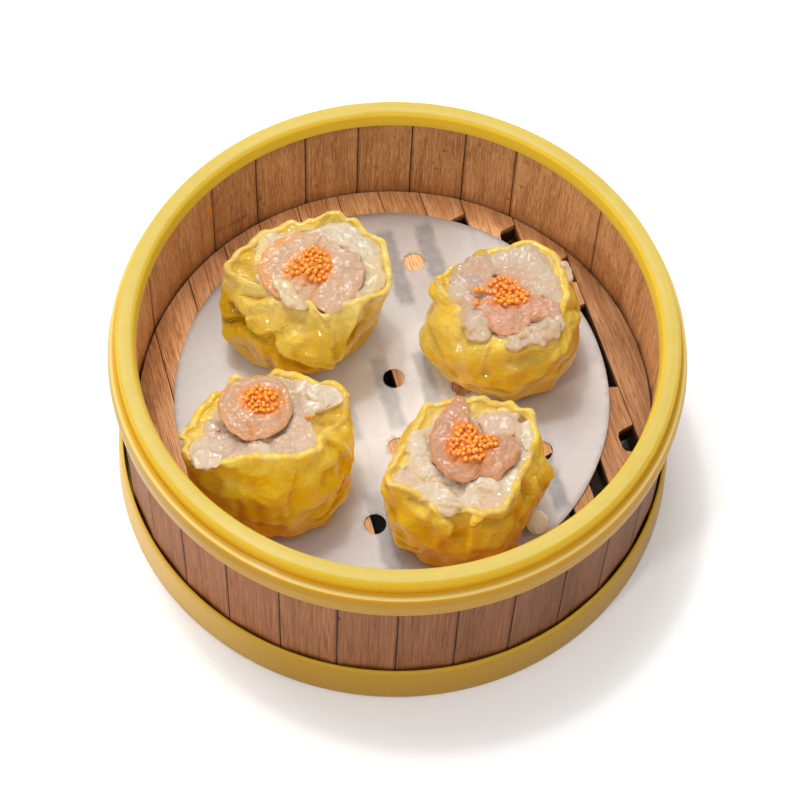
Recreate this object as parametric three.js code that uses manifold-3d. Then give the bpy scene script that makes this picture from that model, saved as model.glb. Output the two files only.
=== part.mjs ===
// Open-topped dumplings on a punched paper sheet in a small bamboo steamer with plastic rings.
// Millimetres, +Z up. The origin is the centre of the steamer's base, on the surface it stands on.
import * as THREE from "three";
import { mergeVertices } from "three/addons/utils/BufferGeometryUtils.js";
import Module from "manifold-3d";

const wasm = await Module();
wasm.setup();

// ---------------------------------------------------------------- sizes
const GAP = 0.3; // clearance between pieces that touch

const HEIGHT = 64.6; // whole steamer
const RING_SEGMENTS = 48;

// top ring, a U-shaped plastic channel pushed down over the staves
const RIM_IN_R = 70.5; // mouth of the steamer
const RIM_LIP_R = 71.9; // outer face of the inner lip
const RIM_LIP_Z = 59.6; // lower edge of the inner lip
const RIM_SLOT_Z = 63.3; // ceiling of the channel
const RIM_BEAD_R = 75.4; // outer wall of the raised bead
const RIM_GROOVE_Z = 58.6; // groove between the bead and the flange
const RIM_FLANGE_R = 78.0; // widest point of the flange
const RIM_FLANGE_Z = 54.6;
const RIM_SKIRT_Z = 50.7; // lower edge of the skirt
const RIM_TONGUE_R = 74.35; // channel wall beside the thinned stave tops
const RIM_STEP_Z = 57.3; // shoulder inside the channel
const RIM_SLEEVE_R = 76.8; // inner face of the skirt

// bottom ring, a U-shaped channel that also carries the slats
const BASE_IN_R = 68.5;
const BASE_LIP_R = 71.9;
const BASE_LIP_Z = 16.9; // ledge under the slats
const BASE_FLOOR = 2.5; // thickness of the channel's floor
const BASE_WALL_R = 76.8; // inner face of the outer wall
const BASE_TOP_Z = 14.0;
const BASE_TOP_R = 78.0;
const BASE_OUT_R = 78.9; // flared foot

// staves
const STAVES = 30;
const STAVE_IN_R = 72.7; // corner radius of the inner face
const STAVE_OUT_R = 76.3; // corner radius of the outer face
const STAVE_TONGUE_R = 74.0; // thinned top
const STAVE_STEP_Z = 57.0;
const STAVE_LOW_Z = 2.8;
const STAVE_TOP_Z = 63.0;
const STAVE_SEAM_MEAN = 7.1; // mean angle of the first seam, degrees
const STAVE_SEAM_DRIFT = 1.9; // the seams drift round the ring by this much
const STAVE_SEAM_PEAK = 245;

// floor slats
const SLAT_TURN = 19; // degrees by which the slats are turned in the ring
const SLAT_LOW_Z = 17.2;
const SLAT_TOP_Z = 24.7;
const SLAT_END_R = 71.8;
// each seam between two slats: its offset at the back and at the front, and whether steam slots are cut along it
const SLAT_SEAMS = [
  { back: -59.0, front: -60.2, slots: [] },
  { back: -45.8, front: -46.2, slots: [] },
  { back: -33.2, front: -33.8, slots: [] },
  { back: -21.4, front: -22.6, slots: [0, 1, 2] },
  { back: -9.1, front: -12.4, slots: [0, 1, 2] },
  { back: 3.2, front: 0.2, slots: [0, 1, 2] },
  { back: 15.3, front: 14.6, slots: [0, 1, 2] },
  { back: 26.9, front: 26.0, slots: [0, 1, 2] },
  { back: 37.7, front: 37.7, slots: [0, 1, 2] },
  { back: 51.0, front: 49.2, slots: [0, 1, 2] },
  { back: 62.0, front: 62.3, slots: [3, 4, 5] },
];
const SLOT_SPANS = [
  [30, 56],
  [-12, 14.5],
  [-52, -27],
  [24.5, 35.8],
  [-12, 17],
  [-35.8, -24.5],
]; // where the slots lie along the slats
const SLOT_DEPTH = 5.2; // how far a slot is cut into its slat
const SLOT_ROUND = 2.0; // corner radius of a slot's ends
const CORNER_STEPS = 2;
const SLOT_WALL = 2.6; // solid end left at the wall

// paper sheet
const PAPER_X = -1.0;
const PAPER_Y = 2.5;
const PAPER_R = 61;
const PAPER_LOW_Z = SLAT_TOP_Z + GAP;
const PAPER_THICK = 0.4;
const PUNCH_R = 3.05;
const PUNCHES = [
  [3.3, 47.0],
  [-0.8, 7.6],
  [18.7, 6.3],
  [1.5, -14.5],
  [41.3, -13.2],
  [-3.7, -38.8],
];

// dumplings stand on the paper
const FOOD_Z = PAPER_LOW_Z + PAPER_THICK + GAP;
const WRAP = 1.5; // thickness of the dough wrapper
const AROUND = 30; // columns round a dumpling

// rim: [angle, radius, height] of the petals and notches; belly: [angle, radius]
// pleats: [angle, depth] of the folds down the side
// prawn: the curled prawn on top, an arc of centre, radius, half width, start and end angle
const DUMPLINGS = [
  {
    name: "dumpling_1",
    at: [-27, 21.5],
    base: 17.5,
    bellyZ: 0.52,
    belly: [[0, 21.6], [35, 20.5], [70, 19.5], [110, 19.5], [150, 21], [185, 22.3], [215, 21], [240, 21.5], [275, 23.4], [300, 22], [330, 20.6]],
    rim: [[-9, 24, 31], [18, 24.3, 33], [31, 21, 33.4], [48, 21.5, 35], [66, 19.4, 36], [88, 15.5, 34.4], [106, 15.8, 35], [128, 15.6, 34], [152, 18.4, 33], [176, 21.6, 30.5], [200, 15.6, 30], [225, 13.6, 31.2], [262, 12.9, 32.4], [293, 16.6, 31], [316, 18.2, 32], [338, 22.2, 31]],
    pleats: [[24, 1.2], [84, 1.0], [132, 1.2], [204, 2.2], [240, 1.2], [288, 1.0], [324, 1.8]],
    fill: 3.6,
    dome: 2.2,
    prawn: { c: [1.0, 1.4], r: 8.3, w: 5.4, from: -118, to: 196, z: 32.2, tilt: [0, 0] },
  },
  {
    name: "dumpling_2",
    at: [29, 18.5],
    base: 17.2,
    bellyZ: 0.5,
    belly: [[0, 21.4], [40, 20.5], [90, 19], [140, 20], [180, 21.8], [200, 22.4], [235, 20.8], [270, 19.6], [305, 20.4], [335, 21.6]],
    rim: [[8, 18.2, 31], [30, 18.6, 33], [50, 18.4, 34], [73, 15.4, 34], [95, 14.2, 32.5], [122, 14.8, 30], [150, 16.6, 28], [171, 21.4, 29.5], [190, 18.6, 27.6], [208, 15.2, 27.5], [228, 16.2, 27], [250, 16.2, 26.6], [268, 13.6, 27], [296, 15.2, 27], [318, 19.4, 28], [340, 18.4, 30]],
    pleats: [[24, 1.6], [96, 1.0], [168, 1.2], [216, 1.4], [252, 1.8], [300, 1.2], [336, 1.8]],
    fill: 2.4,
    dome: 4.2,
    prawn: { c: [2.2, -1.6], r: 6.0, w: 4.6, from: -150, to: 20, z: 31.2, tilt: [-6, 0] },
  },
  {
    name: "dumpling_3",
    at: [-34, -26.5],
    base: 18.2,
    bellyZ: 0.5,
    belly: [[0, 22.2], [45, 20.5], [90, 18.4], [135, 20], [180, 21.8], [215, 22], [250, 20.8], [290, 20.4], [330, 22.2]],
    rim: [[10, 20.2, 29], [29, 23.6, 31], [50, 19.6, 29.4], [72, 18.6, 28], [95, 17.2, 27.6], [120, 19.0, 26.4], [142, 18.8, 26.2], [163, 19.8, 27], [186, 22.6, 28.5], [207, 22.6, 31], [226, 18.6, 33], [246, 13.6, 34.4], [264, 12.4, 35], [288, 12.8, 35], [318, 15.8, 34.4], [336, 18.2, 33.5], [350, 15.2, 32.5]],
    pleats: [[0, 1.4], [60, 1.2], [120, 1.2], [168, 1.8], [240, 1.2], [288, 1.6], [324, 1.2]],
    fill: 3.0,
    dome: 0.8,
    prawn: { c: [-5.2, 4.6], r: 5.2, w: 4.9, from: -70, to: 250, z: 27.6, tilt: [-12, 3] },
  },
  {
    name: "dumpling_4",
    at: [19.5, -33],
    base: 18.4,
    bellyZ: 0.5,
    belly: [[0, 21.6], [45, 20], [90, 18], [135, 19.4], [180, 21.4], [215, 21.6], [245, 20.4], [270, 20.2], [305, 20.8], [335, 21.8]],
    rim: [[12, 19.0, 32], [36, 21.4, 33], [60, 17.4, 32.6], [84, 17.2, 34], [108, 16.2, 33], [128, 17.6, 32], [152, 17.2, 31.4], [178, 18.6, 31], [197, 22.8, 30], [214, 20.4, 29.6], [234, 17.8, 29.6], [255, 17.4, 29], [272, 15.6, 29.6], [286, 18.4, 30.5], [306, 18.2, 31.4], [330, 16.2, 32]],
    pleats: [[0, 1.2], [48, 1.4], [120, 1.2], [168, 1.4], [228, 1.8], [264, 2.4], [300, 1.8]],
    fill: 3.2,
    dome: 2.0,
    prawn: { c: [-1.2, 2.0], r: 7.0, w: 5.0, from: 95, to: 385, z: 30.6, tilt: [0, 0] },
  },
];

// a drop of set stock that has run out beside the last dumpling
const DROP = { x: 42.0, y: -37.6, r: 2.9, h: 4.8 };

// ---------------------------------------------------------------- colours
const COLOUR = {
  plastic: { color: 0xe3c95f, roughness: 0.35 },
  bamboo: { color: 0xc08a5a, roughness: 0.6 },
  slat: { color: 0xc79a68, roughness: 0.65 },
  paper: { color: 0xdccfc6, roughness: 0.9 },
  dough: { color: 0xe3ac1e, roughness: 0.3 },
  meat: { color: 0xdcc3ac, roughness: 0.45 },
  prawn: { color: 0xe8a27e, roughness: 0.3 },
  stock: { color: 0xd9b98f, roughness: 0.15 },
};

const rad = THREE.MathUtils.degToRad;
const group = new THREE.Group();

function place(name, geometry, look) {
  geometry.computeVertexNormals();
  const material = new THREE.MeshStandardMaterial({ ...COLOUR[look], metalness: 0 });
  const mesh = new THREE.Mesh(geometry, material);
  mesh.name = name;
  group.add(mesh);
  return mesh;
}

// ---------------------------------------------------------------- joining and cutting
function toSolid(geometry) {
  const g = geometry.index ? geometry.toNonIndexed() : geometry.clone();
  g.deleteAttribute("normal");
  g.deleteAttribute("uv");
  const merged = mergeVertices(g, 1e-4);
  return new wasm.Manifold(
    new wasm.Mesh({
      numProp: 3,
      vertProperties: new Float32Array(merged.attributes.position.array),
      triVerts: new Uint32Array(merged.index.array),
    }),
  );
}

function toGeometry(solid) {
  const m = solid.getMesh();
  const g = new THREE.BufferGeometry();
  g.setAttribute("position", new THREE.BufferAttribute(new Float32Array(m.vertProperties), 3));
  g.setIndex(new THREE.BufferAttribute(new Uint32Array(m.triVerts), 1));
  return g.toNonIndexed();
}

// A closed skin over rows of points: every row is a closed loop, and the first and last rows are closed by a fan to a point.
function loopSkin(rows, first, last) {
  const position = [];
  const index = [];
  const n = rows[0].length;
  for (const row of rows) for (const p of row) position.push(...p);
  for (let r = 0; r + 1 < rows.length; r++)
    for (let i = 0; i < n; i++) {
      const j = (i + 1) % n;
      const a = r * n + i, b = r * n + j, c = (r + 1) * n + i, d = (r + 1) * n + j;
      index.push(a, b, d, a, d, c);
    }
  const lo = position.length / 3;
  position.push(...first, ...last);
  const top = (rows.length - 1) * n;
  for (let i = 0; i < n; i++) {
    const j = (i + 1) % n;
    index.push(lo, j, i);
    index.push(lo + 1, top + i, top + j);
  }
  const g = new THREE.BufferGeometry();
  g.setAttribute("position", new THREE.Float32BufferAttribute(position, 3));
  g.setIndex(index);
  return g;
}

// ---------------------------------------------------------------- plastic rings
function ring(name, profile) {
  const points = profile.map(([r, z]) => new THREE.Vector2(r, z));
  points.push(points[0].clone());
  const g = new THREE.LatheGeometry(points, RING_SEGMENTS);
  g.rotateX(Math.PI / 2);
  let s = toSolid(g);
  if (s.volume() < 0) {
    points.reverse();
    const h = new THREE.LatheGeometry(points, RING_SEGMENTS);
    h.rotateX(Math.PI / 2);
    s = toSolid(h);
  }
  place(name, toGeometry(s), "plastic");
}

ring("rim_top", [
  [RIM_IN_R, RIM_LIP_Z],
  [RIM_LIP_R, RIM_LIP_Z],
  [RIM_LIP_R, RIM_SLOT_Z],
  [RIM_TONGUE_R, RIM_SLOT_Z],
  [RIM_TONGUE_R, RIM_STEP_Z],
  [RIM_SLEEVE_R, RIM_STEP_Z],
  [RIM_SLEEVE_R, RIM_SKIRT_Z],
  [RIM_FLANGE_R - 0.3, RIM_SKIRT_Z],
  [RIM_FLANGE_R, RIM_FLANGE_Z],
  [RIM_FLANGE_R - 0.8, RIM_GROOVE_Z - 0.8],
  [RIM_BEAD_R + 0.1, RIM_GROOVE_Z],
  [RIM_BEAD_R - 0.1, HEIGHT - 1.1],
  [RIM_BEAD_R - 1.1, HEIGHT - 0.1],
  [(RIM_IN_R + RIM_BEAD_R) / 2, HEIGHT],
  [RIM_IN_R, HEIGHT - 1.0],
]);

ring("rim_base", [
  [BASE_IN_R, 0],
  [BASE_OUT_R, 0],
  [BASE_TOP_R, BASE_TOP_Z - 0.8],
  [BASE_TOP_R - 0.5, BASE_TOP_Z],
  [BASE_WALL_R, BASE_TOP_Z],
  [BASE_WALL_R, BASE_FLOOR],
  [BASE_LIP_R, BASE_FLOOR],
  [BASE_LIP_R, BASE_LIP_Z],
  [BASE_IN_R, BASE_LIP_Z],
]);

// ---------------------------------------------------------------- staves
// A stave is a flat-faced strip between two radial seams, thinned at the top to enter the ring.
function seamAngle(k) {
  const nominal = (360 / STAVES) * k;
  return nominal + STAVE_SEAM_MEAN + STAVE_SEAM_DRIFT * Math.cos(rad(nominal + STAVE_SEAM_MEAN - STAVE_SEAM_PEAK));
}

for (let k = 0; k < STAVES; k++) {
  const half = THREE.MathUtils.radToDeg(GAP / 2 / STAVE_IN_R);
  const a0 = rad(seamAngle(k) + half);
  const a1 = rad(seamAngle(k + 1) - half);
  const at = (r, a, z) => [r * Math.cos(a), r * Math.sin(a), z];
  const loop = (rOut, z) => [at(STAVE_IN_R, a0, z), at(rOut, a0, z), at(rOut, a1, z), at(STAVE_IN_R, a1, z)];
  const mid = (z, r) => {
    const a = (a0 + a1) / 2;
    return at(r, a, z);
  };
  const rows = [
    loop(STAVE_OUT_R, STAVE_LOW_Z),
    loop(STAVE_OUT_R, STAVE_STEP_Z),
    loop(STAVE_TONGUE_R, STAVE_STEP_Z),
    loop(STAVE_TONGUE_R, STAVE_TOP_Z),
  ];
  const g = loopSkin(rows, mid(STAVE_LOW_Z, (STAVE_IN_R + STAVE_OUT_R) / 2), mid(STAVE_TOP_Z, (STAVE_IN_R + STAVE_TONGUE_R) / 2));
  place("stave_" + String(k + 1).padStart(2, "0"), g, "bamboo");
}

// ---------------------------------------------------------------- slats
// In the slats' own frame u runs across them and v along them.
function seamU(seam, v) {
  return THREE.MathUtils.lerp(seam.front, seam.back, (v + SLAT_END_R) / (2 * SLAT_END_R));
}

// where a seam, moved sideways by shift, meets the circle of the slat ends, at the back (+1) or the front (-1)
function seamEnd(seam, shift, side) {
  let v = side * 30;
  for (let i = 0; i < 12; i++) {
    const u = seamU(seam, v) + shift;
    v = side * Math.sqrt(Math.max(0, SLAT_END_R ** 2 - u * u));
  }
  return v;
}

function slatShape(left, right) {
  const shape = [];
  const add = (u, v) => shape.push(new THREE.Vector2(u, v));
  const arc = (u0, v0, u1, v1, steps) => {
    let a0 = Math.atan2(v0, u0), a1 = Math.atan2(v1, u1);
    if (a1 < a0) a1 += 2 * Math.PI;
    for (let i = 0; i <= steps; i++) {
      const a = a0 + ((a1 - a0) * i) / steps;
      add(SLAT_END_R * Math.cos(a), SLAT_END_R * Math.sin(a));
    }
  };
  const half = GAP / 2;
  const edge = (seam, shift, side) => {
    const v = seamEnd(seam, shift, side);
    return [seamU(seam, v) + shift, v];
  };
  const bl = left ? edge(left, half, -1) : null;
  const br = right ? edge(right, -half, -1) : null;
  const tr = right ? edge(right, -half, 1) : null;
  const tl = left ? edge(left, half, 1) : null;
  // front end, from the left seam to the right one
  if (left && right) arc(...bl, ...br, 3);
  else if (left) arc(...bl, ...tl, 12);
  else arc(...tr, ...br, 12);
  // right side going back, with the slots cut into it
  if (right) {
    const spans = right.slots
      .map((i) => SLOT_SPANS[i])
      .map(([lo, hi]) => [Math.max(lo, br[1] + SLOT_WALL), Math.min(hi, tr[1] - SLOT_WALL)])
      .filter(([lo, hi]) => hi - lo > 6)
      .sort((a, b) => a[0] - b[0]);
    for (const [lo, hi] of spans) {
      const u = (v, d) => seamU(right, v) - half - d;
      add(u(lo, 0), lo);
      for (let i = 0; i <= CORNER_STEPS; i++) {
        const a = (i / CORNER_STEPS) * (Math.PI / 2);
        add(u(lo, SLOT_DEPTH - SLOT_ROUND * (1 - Math.sin(a))), lo + 0.8 + SLOT_ROUND * (1 - Math.cos(a)));
      }
      for (let i = CORNER_STEPS; i >= 0; i--) {
        const a = (i / CORNER_STEPS) * (Math.PI / 2);
        add(u(hi, SLOT_DEPTH - SLOT_ROUND * (1 - Math.sin(a))), hi - 0.8 - SLOT_ROUND * (1 - Math.cos(a)));
      }
      add(u(hi, 0), hi);
    }
  }
  if (left && right) arc(...tr, ...tl, 3);
  return new THREE.Shape(shape);
}

for (let i = 0; i <= SLAT_SEAMS.length; i++) {
  const g = new THREE.ExtrudeGeometry(slatShape(SLAT_SEAMS[i - 1], SLAT_SEAMS[i]), {
    depth: SLAT_TOP_Z - SLAT_LOW_Z,
    bevelEnabled: false,
    curveSegments: 1,
  });
  const m = place("slat_" + String(i + 1).padStart(2, "0"), g, "slat");
  m.rotation.z = rad(SLAT_TURN);
  m.position.z = SLAT_LOW_Z;
}

// ---------------------------------------------------------------- paper
{
  const circle = (x, y, r, n, turn) =>
    Array.from({ length: n }, (_, i) => {
      const a = (turn * 2 * Math.PI * i) / n;
      return new THREE.Vector2(x + r * Math.cos(a), y + r * Math.sin(a));
    });
  const shape = new THREE.Shape(circle(0, 0, PAPER_R, 60, 1));
  for (const [x, y] of PUNCHES) shape.holes.push(new THREE.Path(circle(x - PAPER_X, y - PAPER_Y, PUNCH_R, 16, -1)));
  const sheet = new THREE.ExtrudeGeometry(shape, { depth: PAPER_THICK, bevelEnabled: false, curveSegments: 1 });
  place("liner", sheet, "paper").position.set(PAPER_X, PAPER_Y, PAPER_LOW_Z);
}

// ---------------------------------------------------------------- dumplings
// value k of a table of [angle, ...values], smoothly interpolated round the circle
function around(table, k, angle) {
  const a = ((angle % 360) + 360) % 360;
  const t = table.map((row) => [((row[0] % 360) + 360) % 360, row[k]]).sort((p, q) => p[0] - q[0]);
  for (let i = 0; i < t.length; i++) {
    const p = t[i];
    const q = t[(i + 1) % t.length];
    const span = (q[0] - p[0] + 360) % 360 || 360;
    const into = (a - p[0] + 360) % 360;
    if (into <= span) {
      const s = into / span;
      return p[1] + (q[1] - p[1]) * s * s * (3 - 2 * s);
    }
  }
  return t[0][1];
}

// The outer wall of a dumpling at an angle and a share t of its height, shrunk by inset.
function wallPoint(d, angle, t, inset) {
  const rimR = around(d.rim, 1, angle);
  const rimZ = around(d.rim, 2, angle);
  const belly = around(d.belly, 1, angle);
  const tb = d.bellyZ;
  let r;
  if (t < tb) {
    const s = t / tb;
    r = d.base + (belly - d.base) * Math.sin((s * Math.PI) / 2);
  } else {
    const s = (t - tb) / (1 - tb);
    r = belly + (rimR - belly) * s * s;
  }
  for (const [at, depth] of d.pleats) {
    const off = ((angle - at + 540) % 360) - 180;
    r -= depth * Math.exp(-((off / 8) ** 2)) * Math.sin(Math.PI * Math.min(1, 0.15 + 0.75 * t));
  }
  r -= inset;
  return [d.at[0] + r * Math.cos(rad(angle)), d.at[1] + r * Math.sin(rad(angle)), FOOD_Z + rimZ * t];
}

const angles = Array.from({ length: AROUND }, (_, i) => (360 / AROUND) * i);

function wrapperRows(d) {
  const row = (t, inset) => angles.map((a) => wallPoint(d, a, t, inset));
  const flat = (inset, z) => angles.map((a) => {
    const p = wallPoint(d, a, 0, inset);
    return [p[0], p[1], z];
  });
  return [
    flat(2.2, FOOD_Z),
    row(0.06, 0),
    row(0.3, 0),
    row(0.56, 0),
    row(0.8, 0),
    row(1.0, 0.3),
    row(1.0, WRAP).map((p) => [p[0], p[1], p[2] - 0.2]),
    row(0.78, WRAP + 0.2),
    row(0.42, WRAP + 0.3),
    flat(WRAP + 1.6, FOOD_Z + 2.2),
  ];
}

function fillingRows(d) {
  const inset = WRAP + 0.3 + GAP;
  const row = (t, extra) => angles.map((a) => wallPoint(d, a, t, inset + extra));
  const low = angles.map((a) => {
    const p = wallPoint(d, a, 0, WRAP + 1.6 + 2 * GAP);
    return [p[0], p[1], FOOD_Z + 2.2 + GAP];
  });
  const level = (a) => 1 - d.fill / around(d.rim, 2, a);
  const edge = (extra, lift) => angles.map((a) => {
    const p = wallPoint(d, a, Math.min(level(a), 1), inset + extra + 0.5);
    return [p[0], p[1], p[2] + lift];
  });
  const toward = (share, lift) => angles.map((a) => {
    const p = wallPoint(d, a, level(a), inset + 0.5);
    const lump = 0.5 * Math.sin(rad(a * 5)) + 0.35 * Math.cos(rad(a * 8 + 40));
    return [
      d.at[0] + (p[0] - d.at[0]) * share,
      d.at[1] + (p[1] - d.at[1]) * share,
      p[2] + lift + lump * share,
    ];
  });
  return [low, row(0.42, 0.4), row(0.74, 0.4), edge(0.2, -0.6), toward(0.82, d.dome * 0.5), toward(0.45, d.dome * 0.95)];
}

// The curled prawn: an arc whose cross-section is flat below and rounded above, thinner towards the tail.
function prawnSkin(p, grow, bottom, top) {
  const STEPS = 12;
  const SIDES = 4;
  const position = [];
  const index = [];
  const across = [];
  for (let j = 0; j <= SIDES; j++) across.push(-1 + (2 * j) / SIDES);
  const extend = THREE.MathUtils.radToDeg(grow / p.r);
  for (let i = 0; i <= STEPS; i++) {
    const s = i / STEPS;
    const a = rad(p.from - extend + (p.to - p.from + 2 * extend) * s);
    const taper = Math.sqrt(Math.max(0.1, Math.sin(Math.PI * Math.min(1, 0.18 + s * 0.74))));
    const w = (p.w - 0.15) * taper + grow;
    for (let j = 0; j <= SIDES; j++) {
      const r = p.r + across[j] * w;
      const h = top * taper * (0.35 + 0.65 * Math.sqrt(Math.max(0, 1 - (across[j] * 0.92) ** 2)));
      position.push(r * Math.cos(a), r * Math.sin(a), bottom);
      position.push(r * Math.cos(a), r * Math.sin(a), bottom + h);
    }
  }
  const n = SIDES + 1;
  const id = (i, j, up) => 2 * (i * n + j) + up;
  const quad = (a, b, c, d) => index.push(a, b, c, a, c, d);
  for (let i = 0; i < STEPS; i++)
    for (let j = 0; j < SIDES; j++) {
      quad(id(i, j, 1), id(i, j + 1, 1), id(i + 1, j + 1, 1), id(i + 1, j, 1));
      quad(id(i, j, 0), id(i + 1, j, 0), id(i + 1, j + 1, 0), id(i, j + 1, 0));
    }
  for (let i = 0; i < STEPS; i++) {
    quad(id(i, 0, 0), id(i, 0, 1), id(i + 1, 0, 1), id(i + 1, 0, 0));
    quad(id(i, SIDES, 0), id(i + 1, SIDES, 0), id(i + 1, SIDES, 1), id(i, SIDES, 1));
  }
  for (let j = 0; j < SIDES; j++) {
    quad(id(0, j, 0), id(0, j + 1, 0), id(0, j + 1, 1), id(0, j, 1));
    quad(id(STEPS, j, 0), id(STEPS, j, 1), id(STEPS, j + 1, 1), id(STEPS, j + 1, 0));
  }
  const g = new THREE.BufferGeometry();
  g.setAttribute("position", new THREE.Float32BufferAttribute(position, 3));
  g.setIndex(index);
  return g;
}

const PRAWN_THICK = 4.2;
for (const d of DUMPLINGS) {
  const wrapper = toSolid(loopSkin(wrapperRows(d), [d.at[0], d.at[1], FOOD_Z], [d.at[0], d.at[1], FOOD_Z + 2.2]));
  let filling = toSolid(
    loopSkin(fillingRows(d), [d.at[0], d.at[1], FOOD_Z + 2.2 + GAP], [d.at[0], d.at[1], FOOD_Z + around(d.rim, 2, 0) - d.fill + d.dome]),
  );
  const p = d.prawn;
  const pose = new THREE.Matrix4().compose(
    new THREE.Vector3(d.at[0] + p.c[0], d.at[1] + p.c[1], FOOD_Z + p.z - 2.2),
    new THREE.Quaternion().setFromEuler(new THREE.Euler(rad(p.tilt[0]), rad(p.tilt[1]), 0)),
    new THREE.Vector3(1, 1, 1),
  );
  const bed = prawnSkin(p, GAP + 0.1, -GAP - 0.05, 16);
  bed.applyMatrix4(pose);
  filling = filling.subtract(toSolid(bed));
  const parts = filling.decompose().sort((a, b) => b.volume() - a.volume());
  const body = prawnSkin(p, 0, 0, PRAWN_THICK);
  body.applyMatrix4(pose);
  const clear = wrapper.trimByPlane([0, 0, 1], FOOD_Z);
  place(d.name + "_wrapper", toGeometry(clear), "dough");
  place(d.name + "_filling", toGeometry(parts[0]), "meat");
  place(d.name + "_shrimp", toGeometry(toSolid(body)), "prawn");
}

{
  const rows = [];
  const SIDES = 10;
  const level = [0, 0.12, 0.45, 0.78, 0.96];
  for (const t of level) {
    const r = DROP.r * (t === 0 ? 0.7 : Math.sqrt(Math.max(0, 1 - (2 * t * 0.52 - 0.36) ** 2)) * (t > 0.9 ? 0.62 : 1));
    rows.push(
      Array.from({ length: SIDES }, (_, i) => {
        const a = (2 * Math.PI * i) / SIDES;
        return [DROP.x + r * Math.cos(a) * 1.1, DROP.y + r * Math.sin(a), FOOD_Z + DROP.h * t];
      }),
    );
  }
  place("stock_drop", loopSkin(rows, [DROP.x, DROP.y, FOOD_Z], [DROP.x, DROP.y, FOOD_Z + DROP.h]), "stock");
}

export default group;
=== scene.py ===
import math
import bpy
import numpy as np
from mathutils import Matrix, Vector
from mathutils.geometry import delaunay_2d_cdt


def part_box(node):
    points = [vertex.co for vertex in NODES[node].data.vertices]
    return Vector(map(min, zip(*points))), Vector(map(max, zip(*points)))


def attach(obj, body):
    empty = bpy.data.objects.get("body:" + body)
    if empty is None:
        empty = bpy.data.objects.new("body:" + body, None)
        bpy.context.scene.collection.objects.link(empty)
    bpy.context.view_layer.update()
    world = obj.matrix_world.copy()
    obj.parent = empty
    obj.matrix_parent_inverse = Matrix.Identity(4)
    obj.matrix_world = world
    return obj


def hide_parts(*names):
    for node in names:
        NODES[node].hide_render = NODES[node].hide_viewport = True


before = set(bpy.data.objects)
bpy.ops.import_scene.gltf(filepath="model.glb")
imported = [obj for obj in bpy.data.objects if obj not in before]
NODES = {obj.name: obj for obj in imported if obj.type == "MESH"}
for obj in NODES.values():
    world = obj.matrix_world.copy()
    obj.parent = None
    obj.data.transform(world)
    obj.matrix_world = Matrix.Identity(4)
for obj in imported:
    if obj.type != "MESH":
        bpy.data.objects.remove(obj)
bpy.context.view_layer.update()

MM = 0.001
PI = math.pi

# ---------------------------------------------------------------- shape library, millimetres

def per(tab, col, th):
    """periodic monotone cubic through rows [angle, values...]; th in degrees"""
    t = sorted([(r[0] % 360.0, r[col]) for r in tab])
    x = np.array([a for a, _ in t]); y = np.array([b for _, b in t], float)
    n = len(x)
    if n == 1: return np.full(np.shape(th), y[0])
    X = np.concatenate([x - 360, x, x + 360]); Y = np.concatenate([y, y, y])
    h = np.diff(X); s = np.diff(Y) / np.maximum(h, 1e-6)
    m = np.zeros_like(Y)
    for i in range(1, len(Y) - 1):
        if s[i-1] * s[i] > 0:
            w1 = 2*h[i] + h[i-1]; w2 = h[i] + 2*h[i-1]
            m[i] = (w1 + w2) / (w1/s[i-1] + w2/s[i])
    th = np.asarray(th, float) % 360.0
    k = np.clip(np.searchsorted(X, th, side='right') - 1, 0, len(X) - 2)
    u = (th - X[k]) / h[k]
    return ((2*u**3 - 3*u**2 + 1)*Y[k] + (u**3 - 2*u**2 + u)*h[k]*m[k]
            + (-2*u**3 + 3*u**2)*Y[k+1] + (u**3 - u**2)*h[k]*m[k+1])

def waves(P, seed, lam, amp, n=22):
    """smooth noise: a sum of plane waves at about one wavelength (mm)"""
    r = np.random.RandomState(seed)
    out = np.zeros(P.shape[:-1])
    for _ in range(n):
        d = r.normal(size=3); d /= np.linalg.norm(d)
        k = 2*np.pi/(lam*r.uniform(0.7, 1.4))
        out += np.sin(k*(P @ d) + r.uniform(0, 6.283))
    return amp*out/np.sqrt(n/2.0)

MM_DEG = 0.36      # mm of surface per degree round a dumpling
MM_V = 46.0        # mm of surface per unit of v

def fold_field(TH, V, line, half_over=0.35):
    """signed distance (mm) to a polyline given in (degrees, v); positive on the left of its direction; and the share along it"""
    best = np.full(TH.shape, 1e9); sign = np.zeros(TH.shape); share = np.zeros(TH.shape)
    pts = [(a*MM_DEG, b*MM_V) for a, b in line]
    seg = [np.hypot(pts[i+1][0]-pts[i][0], pts[i+1][1]-pts[i][1]) for i in range(len(pts)-1)]
    tot = sum(seg); run = 0.0
    mid = line[len(line)//2][0]
    X = (((TH - mid + 180) % 360) - 180 + mid)*MM_DEG; Y = V*MM_V
    for i in range(len(pts)-1):
        ax, ay = pts[i]; bx, by = pts[i+1]
        dx, dy = bx-ax, by-ay; L = max(seg[i], 1e-6)
        u = ((X-ax)*dx + (Y-ay)*dy)/(L*L)
        uc = np.clip(u, 0, 1)
        ex = X-(ax+uc*dx); ey = Y-(ay+uc*dy)
        d = np.hypot(ex, ey)
        sg = np.sign(dx*(Y-ay) - dy*(X-ax))
        upd = d < best
        best = np.where(upd, d, best); sign = np.where(upd, sg, sign)
        share = np.where(upd, (run+uc*L)/tot, share)
        run += L
    return best*np.where(sign == 0, 1, sign), share

def ends(share, a=0.12, b=0.12):
    s = np.clip(share/a, 0, 1)*np.clip((1-share)/b, 0, 1)
    return s*s*(3-2*s)

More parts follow.
